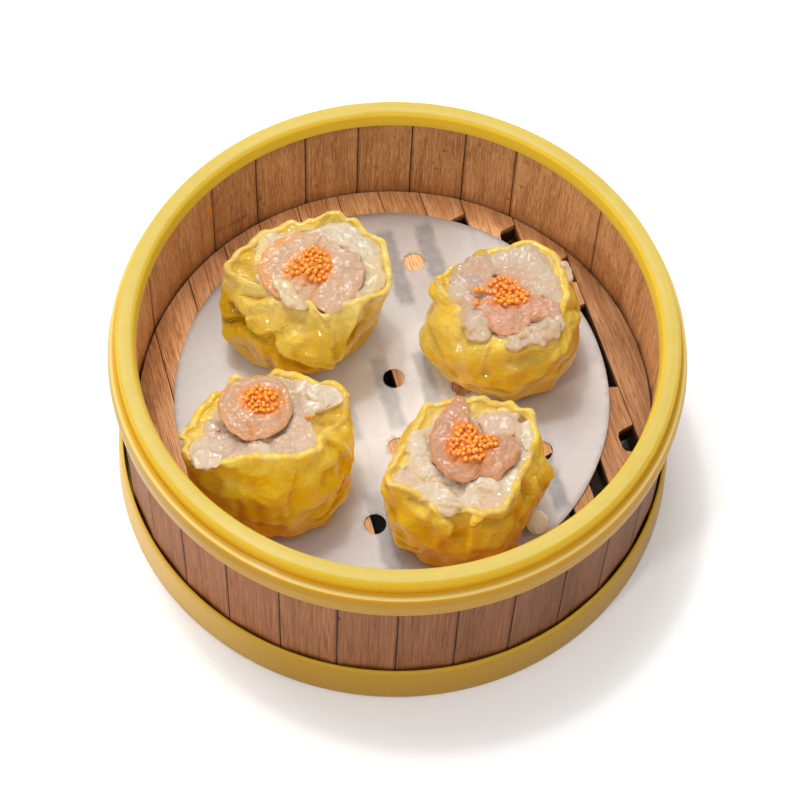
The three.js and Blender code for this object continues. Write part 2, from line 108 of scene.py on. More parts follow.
def displacement(spec, TH, V):
    D = np.zeros(TH.shape)
    for f in spec['features']:
        k = f[0]
        if k == 'fold':       # an overlapped edge: high on the left of the line, falling off over Lh, a groove of depth g on the other side
            _, line, amp, Lh, groove, Lg = f[:6]
            d, sh = fold_field(TH, V, line)
            e = ends(sh, *(f[6] if len(f) > 6 else (0.15, 0.15)))
            step = 1/(1+np.exp(-np.clip(d/0.30, -30, 30)))
            D += e*(step*amp*np.exp(-np.maximum(d, 0)/Lh) - (1-step)*groove*np.exp(-np.maximum(-d, 0)/Lg))
        elif k == 'crease':   # a valley (depth > 0) or ridge (depth < 0) along a line
            _, line, depth, w = f[:4]
            d, sh = fold_field(TH, V, line)
            e = ends(sh, *(f[4] if len(f) > 4 else (0.2, 0.2)))
            D -= e*depth*np.exp(-(d/w)**2)
        elif k == 'bump':
            _, th0, v0, amp, rt, rv = f[:6]
            rot = np.radians(f[6]) if len(f) > 6 else 0.0
            x = (((TH-th0+180) % 360)-180)*MM_DEG; y = (V-v0)*MM_V
            xr = x*np.cos(rot)+y*np.sin(rot); yr = -x*np.sin(rot)+y*np.cos(rot)
            D += amp*np.exp(-(xr/rt)**2-(yr/rv)**2)
    return D

def hermite_rows(ctrl_v, ctrl, V):
    """ctrl: list of arrays (columns,) at ctrl_v; returns (len(V), columns) by a cubic Hermite curve whose slopes
    average the neighbouring ones
    """
    cv = np.array(ctrl_v); C = np.stack(ctrl)
    h = np.diff(cv)[:, None]; s = np.diff(C, axis=0)/h
    m = np.zeros_like(C)
    m[0] = s[0]; m[-1] = s[-1]
    for i in range(1, len(cv)-1):
        m[i] = (s[i-1]*h[i]+s[i]*h[i-1])/(h[i]+h[i-1])
    k = np.clip(np.searchsorted(cv, V, side='right')-1, 0, len(cv)-2)
    u = ((V-cv[k])/(cv[k+1]-cv[k]))[:, None]; hk = (cv[k+1]-cv[k])[:, None]
    return ((2*u**3-3*u**2+1)*C[k]+(u**3-2*u**2+u)*hk*m[k]+(-2*u**3+3*u**2)*C[k+1]+(u**3-u**2)*hk*m[k+1])

def wrapper(spec, nth=320, nout=110, nin=34):
    """closed grid of rows x columns: outer wall from the foot to the rim, round the rim, and down the inside. Returns P (rows, nth, 3) mm in the ground frame, plus TH, V, W (0 outer .. 1 inner)"""
    th = np.arange(nth)*360.0/nth
    g = lambda key, col: per(spec[key], col, th)
    base = g('base', 1)
    rimr, rimz = g('rim', 1), g('rim', 2)
    belr, belz = g('belly', 1), g('belly', 2)
    if 'waist' in spec: war, waz = g('waist', 1), g('waist', 2)
    else: war, waz = base*0.35+belr*0.65-0.2, belz*0.45
    if 'neck' in spec: ner, nez = g('neck', 1), g('neck', 2)
    else: ner, nez = belr*0.5+rimr*0.5+0.6, belz*0.42+rimz*0.58
    lean = spec.get('lean', (0, 0))
    cv = [0.0, 0.06, 0.28, 0.54, 0.80, 1.0]
    v = np.linspace(0, 1, nout)
    R = hermite_rows(cv, [base*0.86, base*0.985, war, belr, ner, rimr], v)
    Z = hermite_rows(cv, [np.zeros(nth), np.full(nth, 1.7), waz, belz, nez, rimz], v)
    TH, V = np.meshgrid(th, v)
    def pos(R, Z, TH):
        hgt = Z/34.0
        a = np.radians(TH)
        return np.stack([spec['at'][0]+R*np.cos(a)+lean[0]*hgt, spec['at'][1]+R*np.sin(a)+lean[1]*hgt, Z], -1)
    P = pos(R, Z, TH)
    def normals(P):
        du = np.roll(P, -1, 1)-np.roll(P, 1, 1)
        dv = np.gradient(P, axis=0)
        n = np.cross(du, dv); n /= np.linalg.norm(n, axis=-1, keepdims=True)+1e-9
        return n
    N0 = normals(P)
    D = displacement(spec, TH, V)
    fade = np.clip(V/0.07, 0, 1)
    D += waves(P, spec['seed'], 9.0, 0.42)+waves(P, spec['seed']+1, 4.2, 0.10)+waves(P, spec['seed']+2, 2.0, 0.02)
    P = P+N0*(D*fade)[..., None]
    # rim ruffle along the free edge
    P[..., 2] += (waves(P, spec['seed']+5, 5.5, 0.3)+waves(P, spec['seed']+6, 2.6, 0.06))*np.clip((V-0.8)/0.2, 0, 1)**2
    P[..., 2] = np.maximum(P[..., 2], 0.0)
    th_mm = np.minimum(per(spec.get('thick', [[0, 1.6]]), 1, th)+0.45, 2.3)
    # the free edge is rounded; then the lip slopes to where the filling starts; then the sheet goes down under it
    c0 = np.array([spec['at'][0], spec['at'][1], 0.0])
    edge = P[-1]
    rad = edge-c0; rad[:, 2] = 0
    R0 = np.linalg.norm(rad, axis=1); U = rad/R0[:, None]
    rin = np.minimum(per(spec['lip'], 1, th), R0-th_mm-0.35)
    zin = per(spec['lip'], 2, th)
    for _ in range(2):
        rin = (np.roll(rin, 1)+2*rin+np.roll(rin, -1))/4
        zin = (np.roll(zin, 1)+2*zin+np.roll(zin, -1))/4
    zz = np.array([0, 0, 1.0])
    rows = []
    up = P[-1]-P[-4]; up /= np.linalg.norm(up, axis=-1, keepdims=True)+1e-9
    up = up*0.5+zz*0.5
    a1 = edge-U*th_mm[:, None]
    mid = (edge+a1)/2
    for t in (0.2, 0.4, 0.6, 0.8):
        an = np.pi*t
        rows.append(mid+U*(th_mm/2*np.cos(an))[:, None]+up*(th_mm/2*np.sin(an)*0.65)[:, None])
    E = np.stack(rows)
    nlip = 14
    tl = np.linspace(0, 1, nlip)[:, None]
    r_lip = (R0-th_mm)[None]*(1-tl)+rin[None]*tl
    z_lip = a1[None, :, 2]*(1-tl**1.6)+zin[None]*tl**1.6
    wid = (R0-th_mm-rin)[None]
    Lp = np.stack([c0[0]+r_lip*U[None, :, 0], c0[1]+r_lip*U[None, :, 1], z_lip], -1)
    dip = -0.10*wid*np.sin(np.pi*tl)+waves(Lp, spec['seed']+3, 5.0, 0.16)*np.sin(np.pi*tl)*np.clip(wid/2.0, 0, 1.6)+waves(Lp, spec['seed']+4, 2.2, 0.07)*np.sin(np.pi*tl)
    Lp[..., 2] += dip
    ndn = nin
    td = np.linspace(0, 1, ndn+1)[1:, None]
    r_dn = rin[None]-0.2-1.6*td
    z_dn = zin[None]*(1-td)+(spec['rim'][0][2]*0.0+13.0)*td
    Dn = np.stack([c0[0]+r_dn*U[None, :, 0], c0[1]+r_dn*U[None, :, 1], z_dn], -1)
    G = np.concatenate([P, E, Lp, Dn])
    n2 = nlip+ndn
    Vall = np.concatenate([V, np.full((4+n2, nth), 1.0)])
    Wall = np.concatenate([np.zeros_like(V), np.repeat(np.array([.2, .4, .6, .8])[:, None], nth, 1), 1+np.repeat(tl, nth, 1), np.full((ndn, nth), 2.0)])
    THall = np.repeat(th[None], G.shape[0], 0)
    Dall = np.concatenate([D, np.repeat(D[-1:], 4, 0), np.zeros((n2, nth))])
    return G, THall, Vall, Wall, Dall

# ---------------------------------------------------------------- node helpers
class Mat:
    """a material with a Principled shader and short ways to add nodes"""
    def __init__(self, name):
        self.m = bpy.data.materials.new(name)
        self.m.use_nodes = True
        self.t = self.m.node_tree
        self.t.nodes.clear()
        self.out = self.t.nodes.new("ShaderNodeOutputMaterial")
        self.b = self.t.nodes.new("ShaderNodeBsdfPrincipled")
        self.t.links.new(self.b.outputs["BSDF"], self.out.inputs["Surface"])

    def put(self, sock, value):
        if isinstance(value, bpy.types.NodeSocket):
            self.t.links.new(value, sock)
        elif value is not None:
            if sock.type == "RGBA" and len(value) == 3:
                value = (*value, 1.0)
            sock.default_value = value

    def set(self, **kw):
        for k, v in kw.items():
            self.put(self.b.inputs[k.replace("_", " ")], v)

    def math(self, op, a, b=None, c=None, clamp=False):
        n = self.t.nodes.new("ShaderNodeMath")
        n.operation = op
        n.use_clamp = clamp
        for i, v in enumerate((a, b, c)):
            if v is not None:
                self.put(n.inputs[i], v)
        return n.outputs[0]

    def add(self, a, b): return self.math("ADD", a, b)
    def sub(self, a, b): return self.math("SUBTRACT", a, b)
    def mul(self, a, b): return self.math("MULTIPLY", a, b)

    def rng(self, v, a, b, c=0.0, d=1.0, smooth=True):
        n = self.t.nodes.new("ShaderNodeMapRange")
        n.interpolation_type = "SMOOTHSTEP" if smooth else "LINEAR"
        self.put(n.inputs[0], v)
        for i, x in enumerate((a, b, c, d)):
            n.inputs[i + 1].default_value = x
        return n.outputs[0]

    def mix(self, fac, a, b, blend="MIX"):
        n = self.t.nodes.new("ShaderNodeMix")
        n.data_type = "RGBA"
        n.blend_type = blend
        n.clamp_factor = True
        self.put(n.inputs[0], fac)
        self.put(n.inputs[6], a)
        self.put(n.inputs[7], b)
        return n.outputs[2]

    def xyz(self, x, y, z):
        n = self.t.nodes.new("ShaderNodeCombineXYZ")
        for i, v in enumerate((x, y, z)):
            self.put(n.inputs[i], v)
        return n.outputs[0]

    def split(self, v):
        n = self.t.nodes.new("ShaderNodeSeparateXYZ")
        self.put(n.inputs[0], v)
        return n.outputs[0], n.outputs[1], n.outputs[2]

    def scale(self, v, s):
        n = self.t.nodes.new("ShaderNodeVectorMath")
        n.operation = "MULTIPLY"
        self.put(n.inputs[0], v)
        n.inputs[1].default_value = s if hasattr(s, "__len__") else (s, s, s)
        return n.outputs[0]

    def shift(self, v, s):
        n = self.t.nodes.new("ShaderNodeVectorMath")
        n.operation = "ADD"
        self.put(n.inputs[0], v)
        self.put(n.inputs[1], s)
        return n.outputs[0]

    def mm(self):
        """object coordinates in millimetres"""
        n = self.t.nodes.new("ShaderNodeTexCoord")
        return self.scale(n.outputs["Object"], 1000.0)

    def noise(self, v, scale, detail=3.0, rough=0.55, distortion=0.0, color=False):
        n = self.t.nodes.new("ShaderNodeTexNoise")
        self.put(n.inputs["Vector"], v)
        n.inputs["Scale"].default_value = scale
        n.inputs["Detail"].default_value = detail
        n.inputs["Roughness"].default_value = rough
        n.inputs["Distortion"].default_value = distortion
        return n.outputs["Color" if color else "Fac"]

    def cells(self, v, scale, feature="F1", rand=1.0, smooth=None):
        n = self.t.nodes.new("ShaderNodeTexVoronoi")
        n.feature = feature
        self.put(n.inputs["Vector"], v)
        n.inputs["Scale"].default_value = scale
        n.inputs["Randomness"].default_value = rand
        if smooth is not None:
            n.inputs["Smoothness"].default_value = smooth
        return n.outputs["Distance"]

    def bump(self, height, strength=0.3, dist=0.0003, normal=None):
        n = self.t.nodes.new("ShaderNodeBump")
        n.inputs["Strength"].default_value = strength
        n.inputs["Distance"].default_value = dist
        self.put(n.inputs["Height"], height)
        if normal is not None:
            self.put(n.inputs["Normal"], normal)
        return n.outputs[0]

    def attr(self, name):
        n = self.t.nodes.new("ShaderNodeAttribute")
        n.attribute_type = "GEOMETRY"
        n.attribute_name = name
        return n

    def spot(self, x, y, cx, cy, rx, ry, soft=0.6):
        """1 in the middle of an ellipse, 0 outside"""
        a = self.mul(self.sub(x, cx), 1.0 / rx)
        b = self.mul(self.sub(y, cy), 1.0 / ry)
        d = self.math("SQRT", self.add(self.mul(a, a), self.mul(b, b)))
        return self.rng(d, 1.0 - soft, 1.0, 1.0, 0.0)


def srgb(r, g, b):
    f = lambda c: (c / 255 / 12.92) if c <= 10.3 else ((c / 255 + 0.055) / 1.055) ** 2.4
    return (f(r), f(g), f(b))


# ---------------------------------------------------------------- mesh helpers
def piece(name, verts, faces, mat, smooth=True, replaces=(), colors=None):
    me = bpy.data.meshes.new(name)
    me.from_pydata([tuple(v) for v in verts], [], [tuple(f) for f in faces])
    me.validate()
    me.update()
    if smooth:
        me.polygons.foreach_set("use_smooth", [True] * len(me.polygons))
    for key, data in (colors or {}).items():
        a = me.color_attributes.new(key, "FLOAT_COLOR", "POINT")
        c = np.ones((len(verts), 4), np.float32)
        c[:, : data.shape[1]] = data
        a.data.foreach_set("color", c.ravel())
    ob = bpy.data.objects.new(name, me)
    bpy.context.scene.collection.objects.link(ob)
    me.materials.append(mat)
    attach(ob, "root")
    if replaces:
        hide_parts(*replaces)
    return ob


def grid_faces(rows, cols, first=0, wrap=True, flip=False):
    r, c = np.meshgrid(np.arange(rows - 1), np.arange(cols if wrap else cols - 1), indexing="ij")
    a = r * cols + c
    b = r * cols + (c + 1) % cols
    q = np.stack([a, b, b + cols, a + cols], -1).reshape(-1, 4) + first
    return q[:, ::-1] if flip else q


def fillet(points, radii, steps=5):
    """a closed outline with its corners rounded; points (r, z), a radius for each"""
    out = []
    n = len(points)
    for i in range(n):
        p0, p, p1 = (Vector(points[(i + k) % n]) for k in (-1, 0, 1))
        a, b = (p0 - p), (p1 - p)
        la, lb = a.length, b.length
        a.normalize(); b.normalize()
        ang = a.angle(b)
        rad = radii[i]
        if rad < 0.02 or ang > PI - 0.05:
            out.append(tuple(p)); continue
        d = min(rad / math.tan(ang / 2), la * 0.45, lb * 0.45)
        rad = d * math.tan(ang / 2)
        c = p + (a + b).normalized() * (rad / math.sin(ang / 2))
        s, e = p + a * d - c, p + b * d - c
        a0, a1 = math.atan2(s.y, s.x), math.atan2(e.y, e.x)
        while a1 - a0 > PI: a1 -= 2 * PI
        while a1 - a0 < -PI: a1 += 2 * PI
        for k in range(steps + 1):
            t = a0 + (a1 - a0) * k / steps
            out.append((c.x + rad * math.cos(t), c.y + rad * math.sin(t)))
    return out


def lathe(name, profile, mat, replaces, seg=288, wobble=0.06, seed=1, shape=None):
    prof = np.array(profile)
    th = np.arange(seg) * 2 * PI / seg
    rs = np.random.RandomState(seed)
    w = sum(rs.uniform(-1, 1) * np.cos(k * th + rs.uniform(0, 6.28)) / k for k in range(2, 7))
    wz = sum(rs.uniform(-1, 1) * np.cos(k * th + rs.uniform(0, 6.28)) / k for k in range(2, 9))
    R = prof[None, :, 0] + wobble * w[:, None]
    Z = prof[None, :, 1] + wobble * 0.5 * wz[:, None] * np.clip(prof[None, :, 1] / 5.0, 0, 1)
    if shape is not None:
        R, Z = shape(R, Z, np.degrees(th)[:, None], prof)
    V = np.stack([R * np.cos(th)[:, None], R * np.sin(th)[:, None], Z], -1) * MM
    n = len(prof)
    i, j = np.meshgrid(np.arange(seg), np.arange(n), indexing="ij")
    a = i * n + j; b = ((i + 1) % seg) * n + j
    c = ((i + 1) % seg) * n + (j + 1) % n; d = i * n + (j + 1) % n
    F = np.stack([a, b, c, d], -1).reshape(-1, 4)
    return piece(name, V.reshape(-1, 3), F, mat, True, replaces)


# ---------------------------------------------------------------- camera
cam_data = bpy.data.cameras.new("camera")
cam = bpy.data.objects.new("camera", cam_data)
bpy.context.scene.collection.objects.link(cam)
cam_data.sensor_width = 36.0
cam_data.lens = 107.55
cam_data.shift_x = -0.00875
cam_data.shift_y = 0.00125
cam_data.clip_start = 0.01
cam_data.clip_end = 20.0
right = Vector((0.9985856, 0.04349607, 0.03057605)); down = Vector((0.05294586, -0.86600496, -0.49722444)); ahead = Vector((0.00485171, 0.49814004, -0.86708302))
rot = Matrix((right, -down, -ahead)).transposed()
cam.matrix_world = Matrix.Translation(Vector((0.0, -0.3333, 0.6060))) @ rot.to_4x4()
bpy.context.scene.camera = cam
bpy.context.scene.view_settings.view_transform = "Standard"

# ---------------------------------------------------------------- floor and light
def plain_floor():
    m = Mat("floor")
    p = m.mm()
    n = m.noise(p, 0.02, 2.0)
    m.set(Base_Color=m.mix(n, (0.90, 0.90, 0.905), (0.92, 0.92, 0.92)), Roughness=0.75)
    me = bpy.data.meshes.new("floor")
    s = 3.0
    me.from_pydata([(-s, -s, 0), (s, -s, 0), (s, s, 0), (-s, s, 0)], [], [(0, 1, 2, 3)])
    ob = bpy.data.objects.new("floor", me)
    bpy.context.scene.collection.objects.link(ob)
    me.materials.append(m.m)
    ob.location = (0, 0, -0.0001)


def area(name, loc, aim, size, power, color=(1, 1, 1)):
    d = bpy.data.lights.new(name, "AREA")
    d.shape = "DISK"
    d.size = size
    d.energy = power
    d.color = color
    o = bpy.data.objects.new(name, d)
    o.location = loc
    o.rotation_mode = "QUATERNION"
    o.rotation_quaternion = (Vector(aim) - Vector(loc)).to_track_quat("-Z", "Y")
    bpy.context.scene.collection.objects.link(o)
    return o


plain_floor()
KEY = area("key", (-0.27, 0.46, 1.3), (0, 0, 0.03), 0.68, 10.3, (1.0, 0.985, 0.965))
FILL = area("fill", (-0.55, -0.62, 0.92), (0, 0, 0.03), 0.12, 2.7, (1.0, 0.98, 0.96))
SPARK = area("spark", (-0.22, 0.30, 1.35), (0, 0, 0.03), 0.10, 3.2, (1.0, 1.0, 1.0))


def soft_sky():
    """an even white ceiling that fades towards the horizon"""
    w = bpy.data.worlds.new("world")
    bpy.context.scene.world = w
    w.use_nodes = True
    t = w.node_tree
    tc = t.nodes.new("ShaderNodeTexCoord")
    sp = t.nodes.new("ShaderNodeSeparateXYZ")
    t.links.new(tc.outputs["Generated"], sp.inputs[0])
    r = t.nodes.new("ShaderNodeMapRange")
    t.links.new(sp.outputs[2], r.inputs[0])
    for i, v in enumerate((0.0, 0.9, 0.21, 1.07)):
        r.inputs[i + 1].default_value = v
    bg = t.nodes["Background"]
    bg.inputs[0].default_value = (1.0, 0.985, 0.97, 1)
    # the ceiling shows only weakly in gloss, so wet food keeps its deep colour and small lights make its glints
    lp = t.nodes.new("ShaderNodeLightPath")
    dim = t.nodes.new("ShaderNodeMapRange")
    t.links.new(lp.outputs["Is Glossy Ray"], dim.inputs[0])
    dim.inputs[3].default_value = 1.0
    dim.inputs[4].default_value = 0.25
    both = t.nodes.new("ShaderNodeMath")
    both.operation = "MULTIPLY"
    t.links.new(r.outputs[0], both.inputs[0])
    t.links.new(dim.outputs[0], both.inputs[1])
    t.links.new(both.outputs[0], bg.inputs[1])


soft_sky()

# ---------------------------------------------------------------- plastic rings
def plastic(name, low):
    m = Mat(name)
    p = m.mm()
    x, y, z = m.split(p)
    th = m.math("ARCTAN2", y, x)
    r = m.math("SQRT", m.add(m.mul(x, x), m.mul(y, y)))
    arc = m.mul(th, 76.0)
    broad = m.noise(p, 0.035, 3.0, 0.6)
    fine = m.noise(m.xyz(m.mul(arc, 0.08), m.mul(r, 1.2), m.mul(z, 1.2)), 1.0, 4.0, 0.6)
    cloud = m.noise(p, 0.25, 3.0, 0.6)
    col = m.mix(m.rng(broad, 0.35, 0.65), YELLOW_A, YELLOW_B)
    col = m.mix(m.rng(cloud, 0.45, 0.75, 0.0, 0.22), col, YELLOW_C)
    # faint lines left by the mould, running round
    col = m.mix(m.rng(fine, 0.5, 0.8, 0.0, 0.16), col, (0.68, 0.50, 0.12))
    geo = m.t.nodes.new("ShaderNodeNewGeometry")
    nz = m.split(geo.outputs["Normal"])[2]
    if low:
        # painted shade: the whole foot gets a darker, browner copy of the yellow
        col = m.mix(0.9, col, (0.42, 0.212, 0.009))
        # painted light: paler towards the left, where the light falls
        col = m.mix(m.mul(m.rng(x, -20.0, -76.0), 0.8), col, (0.80, 0.52, 0.15))
        # darker in patches towards the bottom
        bottom_patches = m.mul(m.rng(z, 0.2, 5.5, 1.0, 0.0), m.rng(m.noise(p, 0.16, 4.0, 0.65), 0.38, 0.7))
        col = m.mix(m.mul(bottom_patches, 0.4), col, (0.36, 0.18, 0.02))
        # painted light: faces of the foot that look up are paler
        col = m.mix(m.mul(m.rng(nz, 0.3, 0.9), 0.7), col, (0.66, 0.44, 0.05))
        # painted shade: the ledge that lies in the dark under the slats is near black
        under_slats_shade = m.mul(m.rng(r, 74.0, 73.0), m.rng(z, 6.0, 12.0))
        col = m.mix(m.mul(under_slats_shade, 0.92), col, (0.05, 0.022, 0.006))
        # an orange-brown line round the top of the foot, where the staves enter
        foot_top_line = m.mul(m.rng(r, 77.2, 76.7), m.rng(z, 13.4, 13.9))
        col = m.mix(m.mul(foot_top_line, 0.5), col, (0.55, 0.20, 0.01))
    else:
        # painted light and shade: the flat top keeps the pale yellow, the steep sides get a darker, deeper yellow
        col = m.mix(m.rng(nz, 0.90, 0.55), col, (0.68, 0.42, 0.012))
        # painted shade: the outer side of the bead is darker golden
        col = m.mix(m.mul(m.rng(z, 63.6, 60.2), m.rng(r, 75.0, 75.3)), col, (0.64, 0.315, 0.002))
        # painted light: the sloped inner lip, which lies in shade, is made a lighter golden
        lip = m.mul(m.rng(r, 71.6, 71.0), m.rng(nz, 0.80, 0.5))
        col = m.mix(lip, col, (0.80, 0.54, 0.04))
        # painted shade: the skirt under the flange is darker and browner
        skirt = m.rng(z, 58.6, 57.6)
        col = m.mix(m.mul(skirt, m.rng(r, 76.0, 76.6)), col, (0.468, 0.248, 0.017))
        # painted light: the outer faces are paler on the left, where the light falls
        west = m.mul(m.rng(x, -40.0, -74.0), m.rng(r, 76.0, 76.6))
        col = m.mix(m.mul(west, 0.55), col, (0.58, 0.44, 0.17))
        # painted shade: the sloping top of the flange under the bead is duller
        flange_shade = m.mul(m.rng(r, 75.7, 76.4), m.rng(nz, 0.45, 0.8))
        col = m.mix(m.mul(flange_shade, 0.7), col, (0.50, 0.34, 0.075))
        # painted highlight: a pale line along the flange's rounded edge
        flange_highlight = m.mul(m.rng(r, 76.3, 76.8), m.rng(m.math("ABSOLUTE", m.sub(nz, 0.75)), 0.06, 0.2, 1.0, 0.0))
        col = m.mix(m.mul(flange_highlight, 0.85), col, (0.78, 0.60, 0.22))
        # painted shade: dark in the groove at the foot of the bead
        groove = m.mul(m.rng(r, 75.9, 75.6), m.rng(z, 60.6, 59.9))
        col = m.mix(m.mul(m.mul(groove, m.rng(r, 75.0, 75.3)), 0.5), col, (0.56, 0.24, 0.002))
        # here and there a faint dark scuff on the top
        spot = m.mul(m.rng(m.noise(p, 0.22, 4.0, 0.7), 0.68, 0.76), m.rng(nz, 0.8, 0.95))
        col = m.mix(m.mul(spot, 0.16), col, (0.30, 0.20, 0.05))
    scratch = m.cells(m.xyz(m.mul(arc, 0.05), m.mul(r, 0.9), m.mul(z, 0.9)), 1.0, "DISTANCE_TO_EDGE")
    rough = m.add(0.26, m.mul(m.noise(p, 0.5, 4.0, 0.7), 0.2))
    h = m.add(m.mul(fine, 0.5), m.mul(m.rng(scratch, 0.0, 0.03, 0.0, 1.0), 0.06))
    m.set(Base_Color=col, Roughness=rough, Normal=m.bump(h, 0.18, 0.00012))
    m.set(Subsurface_Weight=0.12, Subsurface_Scale=0.002, Subsurface_Radius=(1.0, 0.6, 0.15), Specular_IOR_Level=0.09, Coat_Weight=0.03, Coat_Roughness=0.1)
    return m.m


YELLOW_A = (0.505, 0.382, 0.084)
YELLOW_B = (0.53, 0.405, 0.10)
YELLOW_C = (0.56, 0.44, 0.15)

top_profile = fillet(
    [(70.2, 59.6), (71.9, 59.6), (71.9, 63.3), (74.3, 63.3), (74.3, 57.3), (76.8, 57.3), (76.8, 50.7), (77.7, 50.7),
     (77.95, 55.6), (77.35, 58.75), (75.5, 59.75), (75.4, 63.6), (74.7, 64.5), (72.8, 64.58), (71.1, 64.45), (70.5, 63.3), (70.05, 61.2), (69.9, 59.9)],
    [0.15, 0.2, 0.1, 0.1, 0.1, 0.1, 0.2, 0.45, 1.4, 0.7, 0.35, 1.0, 0.6, 1.0, 1.0, 1.2, 0.8, 0.2], 5)
base_profile = fillet(
    [(68.5, 0.0), (78.9, 0.0), (78.35, 8.0), (78.0, 13.2), (77.5, 14.0), (76.8, 14.0), (76.8, 2.5), (71.9, 2.5), (71.9, 16.9), (68.5, 16.9)],
    [0.4, 0.9, 1.0, 0.5, 0.3, 0.2, 0.2, 0.2, 0.3, 0.4], 5)


def top_shape(R, Z, deg, prof):
    # the ring is a moulded strip: its two ends meet at the back, a little out of line
    d = (deg - 101.0)
    step = 1 / (1 + np.exp(-np.clip(d / 0.12, -50, 50)))
    inner = np.clip((72.4 - R) / 1.2, 0, 1)
    near = np.exp(-((d) / 9.0) ** 2)
    Z = Z + inner * near * (step - 0.5) * 0.5
    R = R + inner * near * (0.5 - step) * 0.35
    return R, Z


lathe("ring_top", top_profile, plastic("plastic_top", False), ("rim_top",), 360, 0.05, 5, top_shape)
lathe("ring_base", base_profile, plastic("plastic_base", True), ("rim_base",), 360, 0.05, 9)

# ---------------------------------------------------------------- bamboo
def grain(m, along, across, depth, seed, dark, light, tone):
    """fine straight bamboo fibres: colour and height, which the callers also use for roughness. along, across, depth:
    millimetre sockets
    """
    v = m.xyz(m.add(across, seed * 17.3), m.add(depth, seed * 3.1), m.mul(along, 0.03))
    warp = m.noise(m.xyz(m.mul(across, 0.2), seed * 2.0, m.mul(along, 0.03)), 1.0, 2.0)
    v2 = m.xyz(m.add(m.add(across, m.mul(warp, 1.0)), seed * 17.3), depth, m.mul(along, 0.02))
    fine = m.noise(v, 3.0, 2.0, 0.7)
    mid = m.noise(v2, 1.5, 3.0, 0.65)
    broad = m.noise(m.xyz(m.add(m.mul(across, 0.9), seed * 7.7), depth, m.mul(along, 0.12)), 0.22, 3.0, 0.6)
    f = m.add(m.mul(fine, 0.5), m.add(m.mul(mid, 0.3), m.mul(broad, 0.3)))
    col = m.mix(m.rng(f, 0.40, 0.70), dark, light)
    # short dark dashes: cut fibre bundles
    d = m.cells(m.xyz(m.add(across, seed * 5.7), depth, m.mul(along, 0.11)), 1.5)
    dash = m.mul(m.rng(d, 0.10, 0.24, 1.0, 0.0), m.rng(m.noise(v2, 0.5, 2.0), 0.5, 0.66))
    col = m.mix(m.mul(dash, 0.42), col, (0.16, 0.055, 0.016))
    ticks = m.noise(m.xyz(m.add(across, m.add(m.mul(warp, 1.2), seed * 9.1)), depth, m.mul(along, 0.085)), 3.4, 1.5, 0.6)
    where = m.rng(m.noise(m.xyz(m.mul(across, 0.6), seed * 4.3, m.mul(along, 0.2)), 0.5, 2.0), 0.36, 0.62, 0.35, 1.0)
    col = m.mix(m.mul(m.mul(m.rng(ticks, 0.53, 0.66), where), 0.6), col, (0.24, 0.085, 0.022))
    col = m.mix(m.mul(m.rng(ticks, 0.44, 0.32), 0.35), col, (0.84, 0.56, 0.32))
    pale = m.rng(m.noise(v, 1.9, 2.0, 0.5), 0.60, 0.78)
    col = m.mix(m.mul(pale, 0.28), col, (0.80, 0.52, 0.28))
    col = m.mix(1.0, col, (tone, tone * 0.985, tone * 0.96), "MULTIPLY")
    h = m.add(m.mul(fine, 0.6), m.sub(m.mul(mid, 0.5), m.mul(dash, 0.4)))
    return col, h


HIDDEN = (1, 2, 4, 12, 14, 15, 17)


